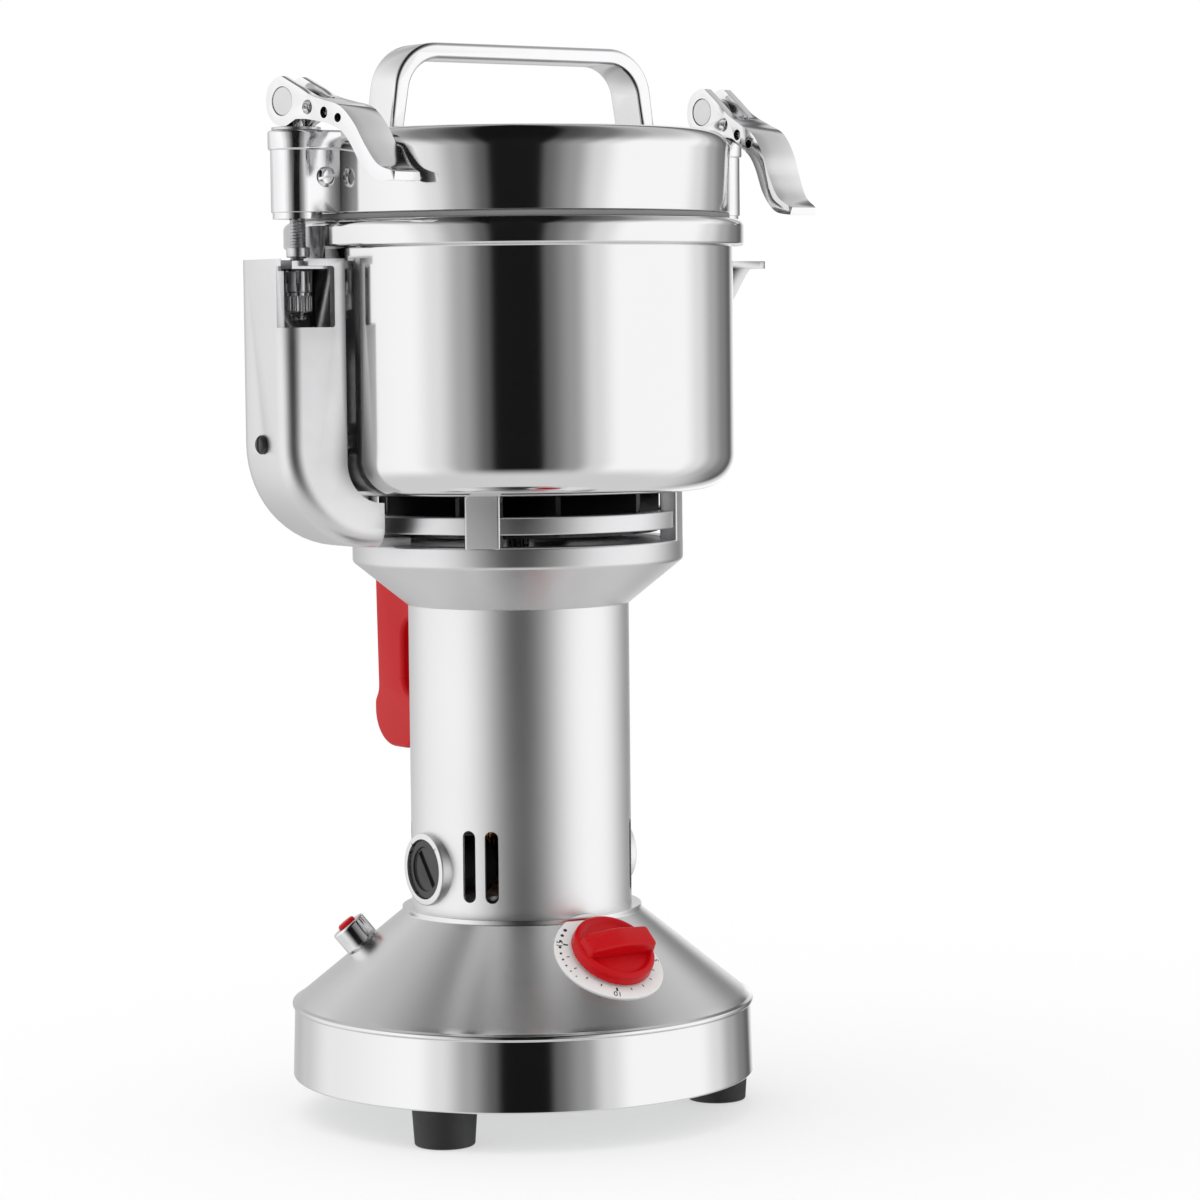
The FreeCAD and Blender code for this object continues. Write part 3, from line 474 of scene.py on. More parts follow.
def rod(name, radius, start, end, segments=64):
    """A round bar between two points."""
    start, end = Vector(start), Vector(end)
    turn = Vector((0, 0, 1)).rotation_difference(end - start).to_matrix().to_4x4()
    length = (end - start).length
    return lathe(name, rectangle(0, radius, 0, length), Matrix.Translation(start) @ turn, segments)


def upright(name, radius, x, low, high, segments=48):
    """A round bar that stands upright at x."""
    return rod(name, radius, (x, 0, low), (x, 0, high), segments)


def evaluated_mesh(piece):
    """A new mesh of what an object's modifiers or text make."""
    graph = bpy.context.evaluated_depsgraph_get()
    return bpy.data.meshes.new_from_object(piece.evaluated_get(graph))


def bake(piece):
    """Replace a piece's mesh by what its modifiers make of it."""
    mesh = evaluated_mesh(piece)
    piece.modifiers.clear()
    old = piece.data
    piece.data = mesh
    bpy.data.meshes.remove(old)
    return piece


def combine(piece, tool, operation="DIFFERENCE"):
    """Exact boolean of two closed meshes; the tool is used up."""
    step = piece.modifiers.new(operation, "BOOLEAN")
    step.operation = operation
    step.solver = "EXACT"
    step.object = tool
    bake(piece)
    discard(tool)
    return piece


def soften(piece, width, segments=3, angle=35):
    """Round every edge that is sharper than an angle."""
    step = piece.modifiers.new("soften", "BEVEL")
    step.width = width * MM
    step.segments = segments
    step.limit_method = "ANGLE"
    step.angle_limit = math.radians(angle)
    step.use_clamp_overlap = True
    return bake(piece)


def joined(name, pieces):
    """Several meshes as one object, without merging them."""
    work = bmesh.new()
    for piece in pieces:
        work.from_mesh(piece.data)
    whole = new_object(name, np.zeros((0, 3)), [])
    work.to_mesh(whole.data)
    work.free()
    for piece in pieces:
        discard(piece)
    return whole


def finish_piece(piece, node, body, slot):
    """Smooth a piece, give it its slot's material, and let it stand for its CAD node on its body."""
    mesh = piece.data
    mesh.shade_smooth()
    mesh.set_sharp_from_angle(angle=math.radians(SMOOTH_ANGLE))
    mesh.materials.clear()
    mesh.materials.append(MATERIALS[slot])
    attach(piece, body)
    if node:
        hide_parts(node)


# Material parts

def new_group(name, inputs, outputs):
    """An empty node group as (tree, values it is given, results to fill); only Colour is a colour."""
    tree = bpy.data.node_groups.new(name, "ShaderNodeTree")
    for way, labels in (("INPUT", inputs), ("OUTPUT", outputs)):
        for label in labels.split():
            kind = "NodeSocketColor" if label == "Colour" else "NodeSocketFloat"
            tree.interface.new_socket(label, in_out=way, socket_type=kind)
    return tree, tree.nodes.new("NodeGroupInput").outputs, tree.nodes.new("NodeGroupOutput").inputs


def add(tree, kind, inputs=None, **settings):
    """A node with its settings; an input takes a value, another node's output, or a node for its
    first output."""
    node = tree.nodes.new(kind)
    for key, value in settings.items():
        setattr(node, key, value)
    for key, value in (inputs or {}).items():
        source = value.outputs[0] if isinstance(value, bpy.types.Node) else value
        if isinstance(source, bpy.types.NodeSocket):
            tree.links.new(source, node.inputs[key])
        else:
            node.inputs[key].default_value = value
    return node


def maths(tree, operation, *values):
    """Result of a maths node whose inputs are numbers or other nodes' outputs."""
    return add(tree, "ShaderNodeMath", dict(enumerate(values)), operation=operation).outputs[0]


def mapped(tree, value, start, end, low=0, high=1, kind="LINEAR"):
    """A value carried from one range into another."""
    return add(tree, "ShaderNodeMapRange", {
        "Value": value, "From Min": start, "From Max": end, "To Min": low, "To Max": high},
        interpolation_type=kind).outputs["Result"]


def object_place(tree):
    """The shaded point in the object's own metres."""
    return add(tree, "ShaderNodeTexCoord").outputs["Object"]


def parts_of(tree, vector):
    """The X, Y and Z of a vector."""
    return add(tree, "ShaderNodeSeparateXYZ", {"Vector": vector}).outputs


def noise(tree, place, scale, detail, roughness=0.5):
    """Cloudy noise at a place."""
    return add(tree, "ShaderNodeTexNoise", {
        "Vector": place, "Scale": scale, "Detail": detail, "Roughness": roughness}).outputs["Fac"]


def handled_group():
    """Cloudy traces of handling: one slow noise moves the roughness and tints the colour a little."""
    tree, given, result = new_group("handled", "Colour Scale Smooth Rough Tint", "Colour Roughness")
    cloud = noise(tree, object_place(tree), given["Scale"], 5, 0.62)
    shade = maths(tree, "SUBTRACT", 1, maths(tree, "MULTIPLY", cloud, given["Tint"]))
    tone = add(tree, "ShaderNodeMix", {0: 1, 6: given["Colour"], 7: shade},
               data_type="RGBA", blend_type="MULTIPLY")
    tree.links.new(tone.outputs[2], result["Colour"])
    tree.links.new(mapped(tree, cloud, 0.35, 0.7, given["Smooth"], given["Rough"]), result["Roughness"])
    return tree


def spun_group():
    """Fine rings left by spinning or brushing: noise that changes fast with radius and height, and
    slowly with x + y so that the rings waver."""
    tree, given, result = new_group("spun_lines", "Lines", "Height")
    parts = parts_of(tree, object_place(tree))
    squares = [maths(tree, "POWER", parts[axis], 2) for axis in "XY"]
    radius = maths(tree, "SQRT", maths(tree, "ADD", *squares))
    spot = add(tree, "ShaderNodeCombineXYZ", {
        "X": maths(tree, "MULTIPLY", radius, given["Lines"]),
        "Y": maths(tree, "MULTIPLY", parts["Z"], given["Lines"]),
        "Z": maths(tree, "MULTIPLY", maths(tree, "ADD", parts["X"], parts["Y"]), SPUN_WAVER)})
    tree.links.new(noise(tree, spot, 1, 3, 0.6), result["Height"])
    return tree


def grain_group():
    """Skin of a cast, moulded or rolled surface: fine noise over a slower swell."""
    tree, given, result = new_group("grain", "Fine Swell Share", "Height")
    place = object_place(tree)
    both = add(tree, "ShaderNodeMix", {
        0: given["Share"], 2: noise(tree, place, given["Fine"], 2),
        3: noise(tree, place, given["Swell"], 1)}, data_type="FLOAT")
    tree.links.new(both.outputs[0], result["Height"])
    return tree


HANDLED = handled_group()
SPUN = spun_group()
GRAIN = grain_group()


def new_material(name):
    """A material as (material, its node tree, its main shader)."""
    material = bpy.data.materials.new(name)
    material.use_nodes = True
    return material, material.node_tree, material.node_tree.nodes["Principled BSDF"]


def surface(name, colour, rough, handling, bump, raised):
    """A material: handled colour and roughness, and a bump from spun lines or grain."""
    material, tree, shader = new_material(name)
    shader.inputs["Metallic"].default_value = 0 if name in NOT_METAL else 1
    shader.inputs["Coat Weight"].default_value = COATS.get(name, 0)
    shader.inputs["Coat Roughness"].default_value = COAT_ROUGHNESS
    shader.inputs["Specular IOR Level"].default_value = SHINES.get(name, 0.5)
    handled = add(tree, "ShaderNodeGroup", {
        "Colour": (*colour, 1), "Scale": handling[1], "Smooth": rough[0], "Rough": rough[1],
        "Tint": handling[0]}, node_tree=HANDLED)
    tree.links.new(handled.outputs["Colour"], shader.inputs["Base Color"])
    tree.links.new(handled.outputs["Roughness"], shader.inputs["Roughness"])
    if isinstance(raised, tuple):
        amounts = dict(zip(("Fine", "Swell", "Share"), raised))
        relief = add(tree, "ShaderNodeGroup", amounts, node_tree=GRAIN)
    else:
        relief = add(tree, "ShaderNodeGroup", {"Lines": raised}, node_tree=SPUN)
    relief = add(tree, "ShaderNodeBump", {"Height": relief, "Strength": bump, "Distance": BUMP_DISTANCE})
    tree.links.new(relief.outputs["Normal"], shader.inputs["Normal"])
    return material


def dull_slope(material):
    """Leave the base's sloping cone duller than the other polished faces, told apart by height."""
    tree = material.node_tree
    roughness = tree.nodes["Principled BSDF"].inputs["Roughness"]
    polished = roughness.links[0].from_socket
    height = parts_of(tree, object_place(tree))["Z"]
    above = mapped(tree, height, SHOULDER_Z * MM, (SHOULDER_Z + 2) * MM, high=SLOPE_DULLNESS)
    below = mapped(tree, height, COLUMN_TOP * MM, COLUMN_BOTTOM * MM)
    tree.links.new(maths(tree, "ADD", polished, maths(tree, "MULTIPLY", above, below)), roughness)


MATERIALS = {name: surface(name, *look) for name, look in LOOKS.items()}
dull_slope(MATERIALS["polished_steel"])


# Base

def base_shell():
    """Spun steel base with a bead under the shoulder, a cone and the column's seat."""
    seat = COLUMN_BOTTOM - SEAT_SHEET
    shell = lathe("look_base_shell", [
        (BASE_LIP, BASE_BOTTOM), (BASE_RADIUS, BASE_BOTTOM, 0.8), (79.2, 37, 0.4),
        (BEAD_RADIUS, 37.6, 0.5), (BEAD_RADIUS, 38.7, 0.6), (CONE_START, cone_height(CONE_START), 0.8),
        (CONE_TOP_RADIUS, CONE_TOP_Z, 0.6), (CONE_TOP_RADIUS, COLUMN_BOTTOM, 0.3),
        (SEAT_BORE, COLUMN_BOTTOM), (SEAT_BORE, seat), (40.3, seat), (40.3, CONE_TOP_Z - SHEET),
        (77.9, SHOULDER_Z - SHEET), (78, BASE_BOTTOM + SHEET), (BASE_LIP, BASE_BOTTOM + SHEET)])
    for spot in (TIMER_PLACE, RESET_PLACE):
        combine(shell, lathe("hole", rectangle(0, CONTROL_HOLE, -8, 8), slope_place(*spot), 64))
    combine(shell, rod("hole", CORD_HOLE, (0, 70, CORD_Z), (0, 90, CORD_Z)))
    finish_piece(shell, "base_shell", "mill", "polished_steel")


def rubber_feet():
    """Three tapered rubber feet, each with a screw recess."""
    feet = []
    for angle in FOOT_ANGLES:
        feet.append(lathe("foot", [
            (2.1, 5), (4.4, 5), (4.4, 0), (10.1, 0, 0.8), (11, BASE_BOTTOM),
            (2.1, BASE_BOTTOM)], shift(*(FOOT_REACH * spoke(angle))), 72))
    finish_piece(joined("look_rubber_feet", feet), "rubber_feet", "mill", "black_rubber")


def dial_plate():
    """Thin white ring that follows the cone: a flat ring outline draped onto the slope."""
    outline = rounded([(CONTROL_HOLE, 0), (DIAL_RADIUS, 0), (DIAL_RADIUS, DIAL_PLATE, 0.25),
                       (CONTROL_HOLE, DIAL_PLATE)])
    rings = []
    for one, two in zip(outline, np.roll(outline, -1, axis=0)):
        steps = max(1, int(np.linalg.norm(two - one) / DIAL_STEP))
        for share in np.linspace(0, 1, steps, endpoint=False):
            radius, lift = one + (two - one) * share
            rings.append(draped(circle(radius, DIAL_SEGMENTS), lift))
    index = np.arange(len(rings) * DIAL_SEGMENTS).reshape(len(rings), DIAL_SEGMENTS)
    plate = new_object("look_dial_plate", np.vstack(rings), skin(np.vstack([index, index[:1]])))
    finish_piece(reworked(plate, face_outwards), "dial_plate", "mill", "dial_white")


def dial_azimuth(minute):
    """Azimuth on the dial of a number of minutes."""
    return 90 - minute * DIAL_SWEEP / DIAL_TICKS


def dial_patch(corners):
    """A thin raised patch on the dial, from its corners in the dial's plane."""
    corners = np.array(corners, float)
    points = np.vstack([draped(corners, DIAL_TOP - MARK_DEPTH), draped(corners, DIAL_TOP)])
    return new_object("patch", points, slab_faces(len(corners)))


def dial_number(text, azimuth):
    """A number cut from a flat letter outline, turned to stand at an azimuth of the dial."""
    curve = bpy.data.curves.new("number", "FONT")
    curve.body = text
    curve.size = NUMBER_SIZE
    curve.align_x = "CENTER"
    curve.align_y = "CENTER"
    letters = in_scene("number", curve)
    mesh = evaluated_mesh(letters)
    bpy.data.objects.remove(letters)
    spots = np.array([vertex.co[:2] for vertex in mesh.vertices])
    faces = [list(polygon.vertices) for polygon in mesh.polygons]
    bpy.data.meshes.remove(mesh)
    cosine, sine = spoke(azimuth - 90)
    turn = np.array([[cosine, sine], [-sine, cosine]])
    return new_object("number", draped(spots @ turn + NUMBER_REACH * spoke(azimuth), DIAL_TOP), faces)


def dial_marks():
    """Printed marks of the dial: minute ticks, a growing arc of dots and a few numbers."""
    patches = []
    for minute in range(DIAL_TICKS + 1):
        outer, half = LONG_TICK if minute % 5 == 0 else SHORT_TICK
        along = spoke(dial_azimuth(minute))
        aside = half * np.array([-along[1], along[0]])
        near, far = along * TICK_START, along * outer
        patches.append(dial_patch([near - aside, far - aside, far + aside, near + aside]))
    for step in range(DOTS):
        centre = DOT_REACH * spoke(DOT_AZIMUTH - step * DOT_STEP)
        patches.append(dial_patch(centre + circle(DOT_SIZE + DOT_GROWTH * step, 16)))
    for value in DIAL_NUMBERS:
        patches.append(dial_number(str(value), dial_azimuth(value)))
    marks = reworked(joined("look_dial_marks", patches), face_outwards)
    finish_piece(marks, None, "mill", "black_plastic")


def timer_knob():
    """Round red knob with a sunken face and a raised bar that runs out to the pointer's edge."""
    place = slope_place(*TIMER_PLACE)
    skirt = lathe("look_timer_knob", [
        (0, 1.4), (14.6, 1.4, 0.3), (14.2, 5.5, 1.5), (12.4, 5.5, 0.7), (11.2, 4.4, 0.6), (0, 4.4)],
        place, 128)
    side_view = [(-13.2, 4), (-12, 8.6, 2.2), (0, 10.4, 24), (13.2, 9.4, 1.8), (14.1, 4)]
    bar = prism("bar", side_view, -4, 4, "y", place)
    combine(skirt, soften(bar, 1, 4), "UNION")
    soften(skirt, 0.3, 2, 40)
    finish_piece(skirt, "timer_knob", "timer_control", "red_plastic")


def reset_parts():
    """Bright collar and its red push button."""
    place = slope_place(*RESET_PLACE, 0.3)
    collar = lathe("look_reset_collar", [
        (3.7, 0.1), (6.35, 0.1, 0.2), (6.35, 8, 0.8), (3.7, 8, 0.4), (3.7, -4), (4.9, -4),
        (4.9, 0.1)], place, 96)
    finish_piece(collar, "reset_collar", "mill", "polished_fittings")
    button = lathe("look_reset_button", [(0, 1.8), (3.3, 1.8), (3.3, 9.4, 0.9), (0, 9.4)], place, 72)
    finish_piece(button, "reset_button", "reset_control", "red_plastic")


# Motor column

def column_tube():
    """Brushed tube with a round boss at each brush and upright air slots."""
    tube = lathe("look_column_tube", rectangle(COLUMN_INNER, COLUMN_RADIUS, COLUMN_BOTTOM, COLUMN_TOP))
    for side in SIDES.values():
        boss = rod("boss", BOSS_RADIUS, (side * 34, 0, BRUSH_Z), (side * 40.2, 0, BRUSH_Z), 96)
        soften(boss, 0.6)
        combine(boss, upright("bore", COLUMN_INNER + 0.3, 0, 60, 120, SEGMENTS))
        combine(tube, boss, "UNION")
    for side in SIDES.values():
        combine(tube, rod("bore", BRUSH_HOLE, (side * 20, 0, BRUSH_Z), (side * 45, 0, BRUSH_Z), 96))
    for quarter in (-90, 90):
        for angle in AIR_SLOT_ANGLES:
            slot = rectangle(-2.4, 2.4, 76.5, 101, 2.35, 2.35)
            combine(tube, prism("slot", slot, 30, 42, "x", rotation(quarter + angle)))
    finish_piece(tube, "column_tube", "mill", "brushed_steel")


def brush_caps():
    """Black screw caps with a raised rim and a coin slot."""
    middle = shift(z=BRUSH_Z)
    for name, side in SIDES.items():
        cap = lathe("look_brush_cap_" + name, [
            (0, 35.2), (10.2, 35.2), (10.2, 39.4, 0.5), (7.6, 39.4, 0.3), (7.6, 38.6, 0.3), (0, 38.6)],
            middle @ rotation(90 * side, "Y"), 96)
        low, high = sorted((side * 37.4, side * 41))
        slot = rectangle(-1.1, 1.1, -7, 7)
        combine(cap, prism("slot", slot, low, high, "x", middle @ rotation(COIN_SLOT_TURN, "X")))
        soften(cap, 0.15, 2, 40)
        finish_piece(cap, "brush_cap_" + name, "mill", "black_plastic")


# Bracket, bowl and lid

def keep_seat(work):
    """Keep only the bearing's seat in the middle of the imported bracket."""
    outer = [point for point in work.verts if math.hypot(point.co.x, point.co.y) > SEAT_REACH * MM]
    bmesh.ops.delete(work, geom=outer, context="VERTS")


def bowl_bracket():
    """Cast bracket: flare, ring, mid ring on four pillars, and the seat of the upper bearing."""
    flare = lathe("flare", [
        (36.4, 170), (36.88, 170), (36.88, COLUMN_TOP), (38.4, COLUMN_TOP, 0.6),
        (RING_RADIUS, RING_BOTTOM, 2), (RING_RADIUS, RING_TOP, 0.8), (50, RING_TOP), (50, 193.4),
        (34.5, 181), (34.5, 170)])
    mid_ring = lathe("mid_ring", rectangle(50.6, 56, 202, 208, 0.6))
    pieces = [flare, mid_ring]
    for angle in PILLAR_ANGLES:
        plan = rectangle(50.9, 56.8, -6, 6, 0.8)
        pillar = prism("pillar", plan, RING_TOP - 0.8, DRUM_BOTTOM + 0.6, "z", rotation(angle))
        pieces.append(soften(pillar, 0.5))
    pieces.append(reworked(dressed_copy("bowl_bracket"), keep_seat))
    finish_piece(joined("look_bowl_bracket", pieces), "bowl_bracket", "mill", "cast_aluminium")


def bowl():
    """Polished bowl with a rounded foot, a bead flange and the shaft's hub."""
    drum = lathe("look_bowl", [
        (HUB_BORE, DRUM_BOTTOM), (DRUM_RADIUS, DRUM_BOTTOM, 12), (DRUM_RADIUS, FLANGE_BOTTOM, 0.8),
        (FLANGE_RADIUS, FLANGE_BOTTOM, 1), (FLANGE_RADIUS, FLANGE_TOP, 2.8),
        (FLANGE_INNER, FLANGE_TOP, 0.6), (FLANGE_INNER, FLANGE_TOP - 3.5, 0.5),
        (DRUM_INNER, FLANGE_TOP - 5.5, 0.5), (DRUM_INNER, DRUM_FLOOR, 10.4), (19, DRUM_FLOOR, 1.5),
        (15, HUB_TOP, 1.5), (HUB_BORE, HUB_TOP)], segments=FINE_SEGMENTS)
    finish_piece(drum, "bowl", "mill", "polished_steel")


def lid():
    """Polished lid with a rounded top edge and turned-in rim, and its seal."""
    inner = LID_RADIUS - LID_SHEET
    shell = lathe("look_lid_shell", [
        (0, LID_TOP), (LID_RADIUS, LID_TOP, 7), (LID_RADIUS, LID_BOTTOM, 0.5), (LID_RIM, LID_BOTTOM),
        (LID_RIM, LID_BOTTOM + 2.2), (inner, LID_BOTTOM + 3.4), (inner, LID_TOP - LID_SHEET, 5.4),
        (0, LID_TOP - LID_SHEET)], segments=FINE_SEGMENTS)
    finish_piece(shell, "lid_shell", "lid", "polished_steel")
    seal = lathe("look_lid_seal", rectangle(*SEAL, FLANGE_TOP, LID_BOTTOM, 0.4))
    finish_piece(seal, "lid_seal", "lid", "lid_silicone")


def lid_handle():
    """Bent strap handle whose legs lean in towards the top."""
    half, strap, lean, top = HANDLE_HALF, HANDLE_STRAP, HANDLE_LEAN, HANDLE_TOP
    outline = [
        (-half, LID_TOP), (-half + lean, top, 17), (half - lean, top, 17), (half, LID_TOP),
        (half - strap, LID_TOP), (half - strap - lean, top - strap, 12),
        (-half + strap + lean, top - strap, 12), (-half + strap, LID_TOP)]
    handle = prism("look_lid_handle", outline, -HANDLE_WIDTH / 2, HANDLE_WIDTH / 2, "y")
    soften(handle, 1.3, 4, 40)
    finish_piece(handle, "lid_handle", "lid", "polished_fittings")


def stadium(half, low, high, side):
    """A round-ended block about a clamp rod."""
    angles = np.radians(np.linspace(-90, 90, 33))
    end = np.stack([ROD_OFFSET + half * np.cos(angles), half * np.sin(angles)], 1)
    plan = np.vstack([[[EAR_START, -half]], end, [[EAR_START, half]]])
    plan[:, 0] *= side
    return prism("look_ear", plan, low, high)


def lid_ears():
    """Round-ended blocks on the lid's sides, each with a cap ring and a foot."""
    for name, side in SIDES.items():
        x = side * ROD_OFFSET
        body = soften(stadium(8.7, LID_BOTTOM + 0.3, 333, side), 0.4, 3, 60)
        body.name = "look_ear_" + name
        combine(body, soften(stadium(9.5, 329.8, 336.4, side), 0.9, 4, 60), "UNION")
        combine(body, upright("foot", 8.2, x, FLANGE_TOP + 0.3, LID_BOTTOM + 1, 64), "UNION")
        combine(body, upright("lid_room", LID_RADIUS + 0.02, 0, 300, 340, FINE_SEGMENTS))
        combine(body, upright("bore", ROD_RADIUS + 0.35, x, 300, 345))
        finish_piece(body, "ear_" + name, "lid", "polished_fittings")


def slotted_screw(radius, height, place, slot_turn):
    """Domed screw head with a driver slot; +Z of its place looks out of the head."""
    head = lathe("head", [
        (0, 0), (radius, 0), (radius, height * 0.35, 0.2), (radius * 0.72, height, radius * 0.5),
        (0, height)], place, 56)
    slot = rectangle(-radius - 1, radius + 1, -SCREW_SLOT, SCREW_SLOT)
    return combine(head, prism("slot", slot, height * 0.45, height + 1, "z", place @ rotation(slot_turn)))


def visible_screws():
    """Screws in the ears' fronts and in the arm's back."""
    pieces = []
    for side in SIDES.values():
        x, z = side * EAR_SCREW_X, EAR_SCREW_Z
        pieces.append(slotted_screw(3.4, 1.3, shift(x, -8.7, z) @ rotation(90, "X"), 12))
        pieces.append(rod("shank", 1.65, (x, -8.8, z), (x, -4.6, z), 32))
    finish_piece(joined("look_ear_screws", pieces), "ear_screws", "lid", "polished_fittings")
    head = slotted_screw(3.2, 1.8, shift(-ARM_OUTER, 0, ARM_BEND_Z) @ rotation(-90, "Y"), 0)
    shank = rod("shank", 1.95, (-ARM_OUTER - 0.1, 0, ARM_BEND_Z), (-86, 0, ARM_BEND_Z), 40)
    finish_piece(joined("look_arm_screw", [head, shank]), "arm_screw", "mill", "black_plastic")


# Clamps

def ridged_bar(name, radii, angles, heights, x):
    """Closed upright bar at x: the point of turn a and height z lies at radius r(z, a), from a grid."""
    rows, segments = radii.shape
    points = np.stack([x + radii * np.cos(angles), radii * np.sin(angles), heights + 0 * angles], 2)
    index = np.arange(rows * segments).reshape(rows, segments)
    faces = skin(index) + [index[0][::-1].tolist(), index[-1].tolist()]
    return reworked(new_object(name, points.reshape(-1, 3), faces), face_outwards)


def knurl(radius, low, high, x):
    """Knurled band: the radius at turn a is reduced by the depth times a triangle wave of
    ridges * a / (2 pi), and by the whole depth at both ends."""
    depth = KNURL_DEPTH
    angles = angles_round(KNURL_RIDGES * 4)[None, :]
    heights = np.array([low, low + depth, high - depth, high])[:, None]
    wave = np.abs(2 * (KNURL_RIDGES * angles / (2 * math.pi) % 1) - 1)
    ends = np.array([1, 0, 0, 1])[:, None]
    return ridged_bar("band", radius - depth * np.maximum(wave, ends), angles, heights, x)


def thread(radius, low, high, x):
    """Threaded bar: the radius at turn a and height z is reduced by the thread's depth times a
    triangle wave of z / pitch - a / (2 pi), which makes one helical ridge per pitch."""
    rows = int((high - low) / THREAD_PITCH * THREAD_ROWS) + 1
    angles = angles_round(THREAD_SEGMENTS)[None, :]
    heights = np.linspace(low, high, rows)[:, None]
    phase = (heights / THREAD_PITCH - angles / (2 * math.pi)) % 1
    wave = 1 - np.abs(2 * phase - 1)
    ends = np.clip(np.minimum(heights - low, high - heights) / THREAD_PITCH, 0, 1)
    return ridged_bar("thread", radius - THREAD_DEPTH * (1 - wave * ends), angles, heights, x)


def clamp_rod(name, x, drop):
    """Rod with a threaded foot, a plain upper length, and a collar on the hinge side."""
    pieces = [thread(ROD_RADIUS, ROD_BOTTOM - drop, THREAD_TOP, x),
              upright("shank", ROD_RADIUS - 0.1, x, THREAD_TOP - 0.5, PIVOT_Z - drop)]
    if name == "left":
        pieces.append(lathe("collar", rectangle(2.6, 3.9, 294.6, 298, 0.4), shift(x), 56))
    finish_piece(joined(f"look_{name}_rod", pieces), name + "_rod", name + "_clamp_rod",
                 "plated_steel")


def clamp_washer(name, x):
    """Washer that turns with the lever."""
    outline = rectangle(ROD_RADIUS + 0.08, WASHER_RADIUS, *WASHER_Z, 0.2)
    washer = lathe(f"look_{name}_washer", outline, shift(x), 96)
    finish_piece(washer, name + "_washer", name + "_turntable", "plated_steel")


def clamp_barrel(name, x, drop):
    """Cross barrel on the rod's top, round which the lever turns."""
    place = shift(x, 0, PIVOT_Z - drop) @ rotation(LEVER_TURNS[name]) @ rotation(90, "Y")
    half = CHEEK_OUTER - 0.2
    barrel = lathe(f"look_{name}_barrel", rectangle(0, BARREL_RADIUS, -half, half, 0.5), place, 80)
    combine(barrel, upright("bore", ROD_RADIUS - 0.1, x, 330, PIVOT_Z - drop))
    finish_piece(barrel, name + "_barrel", name + "_clamp_rod", "plated_steel")


def clamp_nut(name, x, drop):
    """Notched nut with a knurled band round its lower half."""
    low, high = NUT_Z[0] - drop, NUT_Z[1] - drop
    bore, neck = ROD_RADIUS + 0.05, NUT_RADIUS - NUT_NECK
    nut = lathe("nut", [
        (bore, low), (neck, low, 0.4), (neck, low + 6.7, 0.15), (NUT_RADIUS, low + 7, 0.15),
        (NUT_RADIUS, high, 0.5), (bore, high)], shift(x), 96)
    for turn in (0, 60, 120):
        notch = rectangle(-6, 6, -0.8, 0.8)
        combine(nut, prism("notch", notch, high - NUT_NOTCH, high + 1, "z", shift(x) @ rotation(turn)))
    soften(nut, 0.12, 2, 45)
    band = knurl(NUT_RADIUS, low + KNURL_Z[0], low + KNURL_Z[1], x)
    combine(band, upright("bore", NUT_RADIUS - 0.8, x, low - 1, low + 7, 64))
    finish_piece(joined(f"look_{name}_nut", [nut, band]), name + "_nut", name + "_adjuster",
                 "plated_steel")


def lever_outline():
    """Side view of the lever: the cam is a spiral whose radius falls evenly with its angle, the back
    of the head is an arc, and the blade's two faces are smooth curves."""
    turns = np.linspace(0, CAM_SWEEP, CAM_STEPS)
    radii = CAM_RADIUS - CAM_LIFT * turns / CAM_SWEEP
    angles = np.radians(-90 - turns)
    cam = np.stack([radii * np.cos(angles), radii * np.sin(angles)], 1)
    back = flowing([cam[-1], *LEVER_BACK, LEVER_UPPER[0]])
    return np.vstack([cam[:-1], back[:-1], flowing(LEVER_UPPER), flowing(LEVER_LOWER)])


def mirrored(corners):
    """An outline's left half, then its right half in the opposite order."""
    return corners + [(-corner[0], *corner[1:]) for corner in reversed(corners)]


def cam_lever(name, x, drop):
    """Cam lever: two cheeks round the barrel and an S-shaped blade, pierced by three holes."""
    lever = prism(f"look_{name}_lever", lever_outline(), -10, 10, "x")
    plan = mirrored([
        (-CHEEK_OUTER, -12), (-CHEEK_OUTER, 12, 6), (-7.9, 24, 20), (-7.6, 34, 20), (-6, 46, 3)])
    combine(lever, prism("plan", plan, -60, 30), "INTERSECT")
    throat = mirrored([(-CHEEK_INNER, -13), (-CHEEK_INNER, 16.5, 2.5)])
    combine(lever, prism("throat", throat, -16, 12))
    combine(lever, rod("bore", BARREL_RADIUS + 0.06, (-20, 0, 0), (20, 0, 0), 80))
    for u, w, radius in LEVER_HOLES:
        combine(lever, rod("hole", radius, (-20, u, w), (20, u, w), 40))
    soften(lever, 0.45, 3, 38)
    place = rotation(180 + LEVER_TURNS[name]) @ rotation(LEVER_RAISED[name], "X")
    place.translation = Vector((x, 0, PIVOT_Z - drop)) * MM
    lever.data.transform(place)
    finish_piece(lever, name + "_lever", name + "_cam", "polished_fittings")


def clamps():
    """Both clamps; a rod's top sits lower by the cam's lift for each degree its lever is raised."""
    for name, side in SIDES.items():
        x = side * ROD_OFFSET
        drop = CAM_LIFT * LEVER_RAISED[name] / CAM_SWEEP
        clamp_rod(name, x, drop)
        clamp_washer(name, x)
        clamp_barrel(name, x, drop)
        clamp_nut(name, x, drop)
        cam_lever(name, x, drop)


# Hinge side

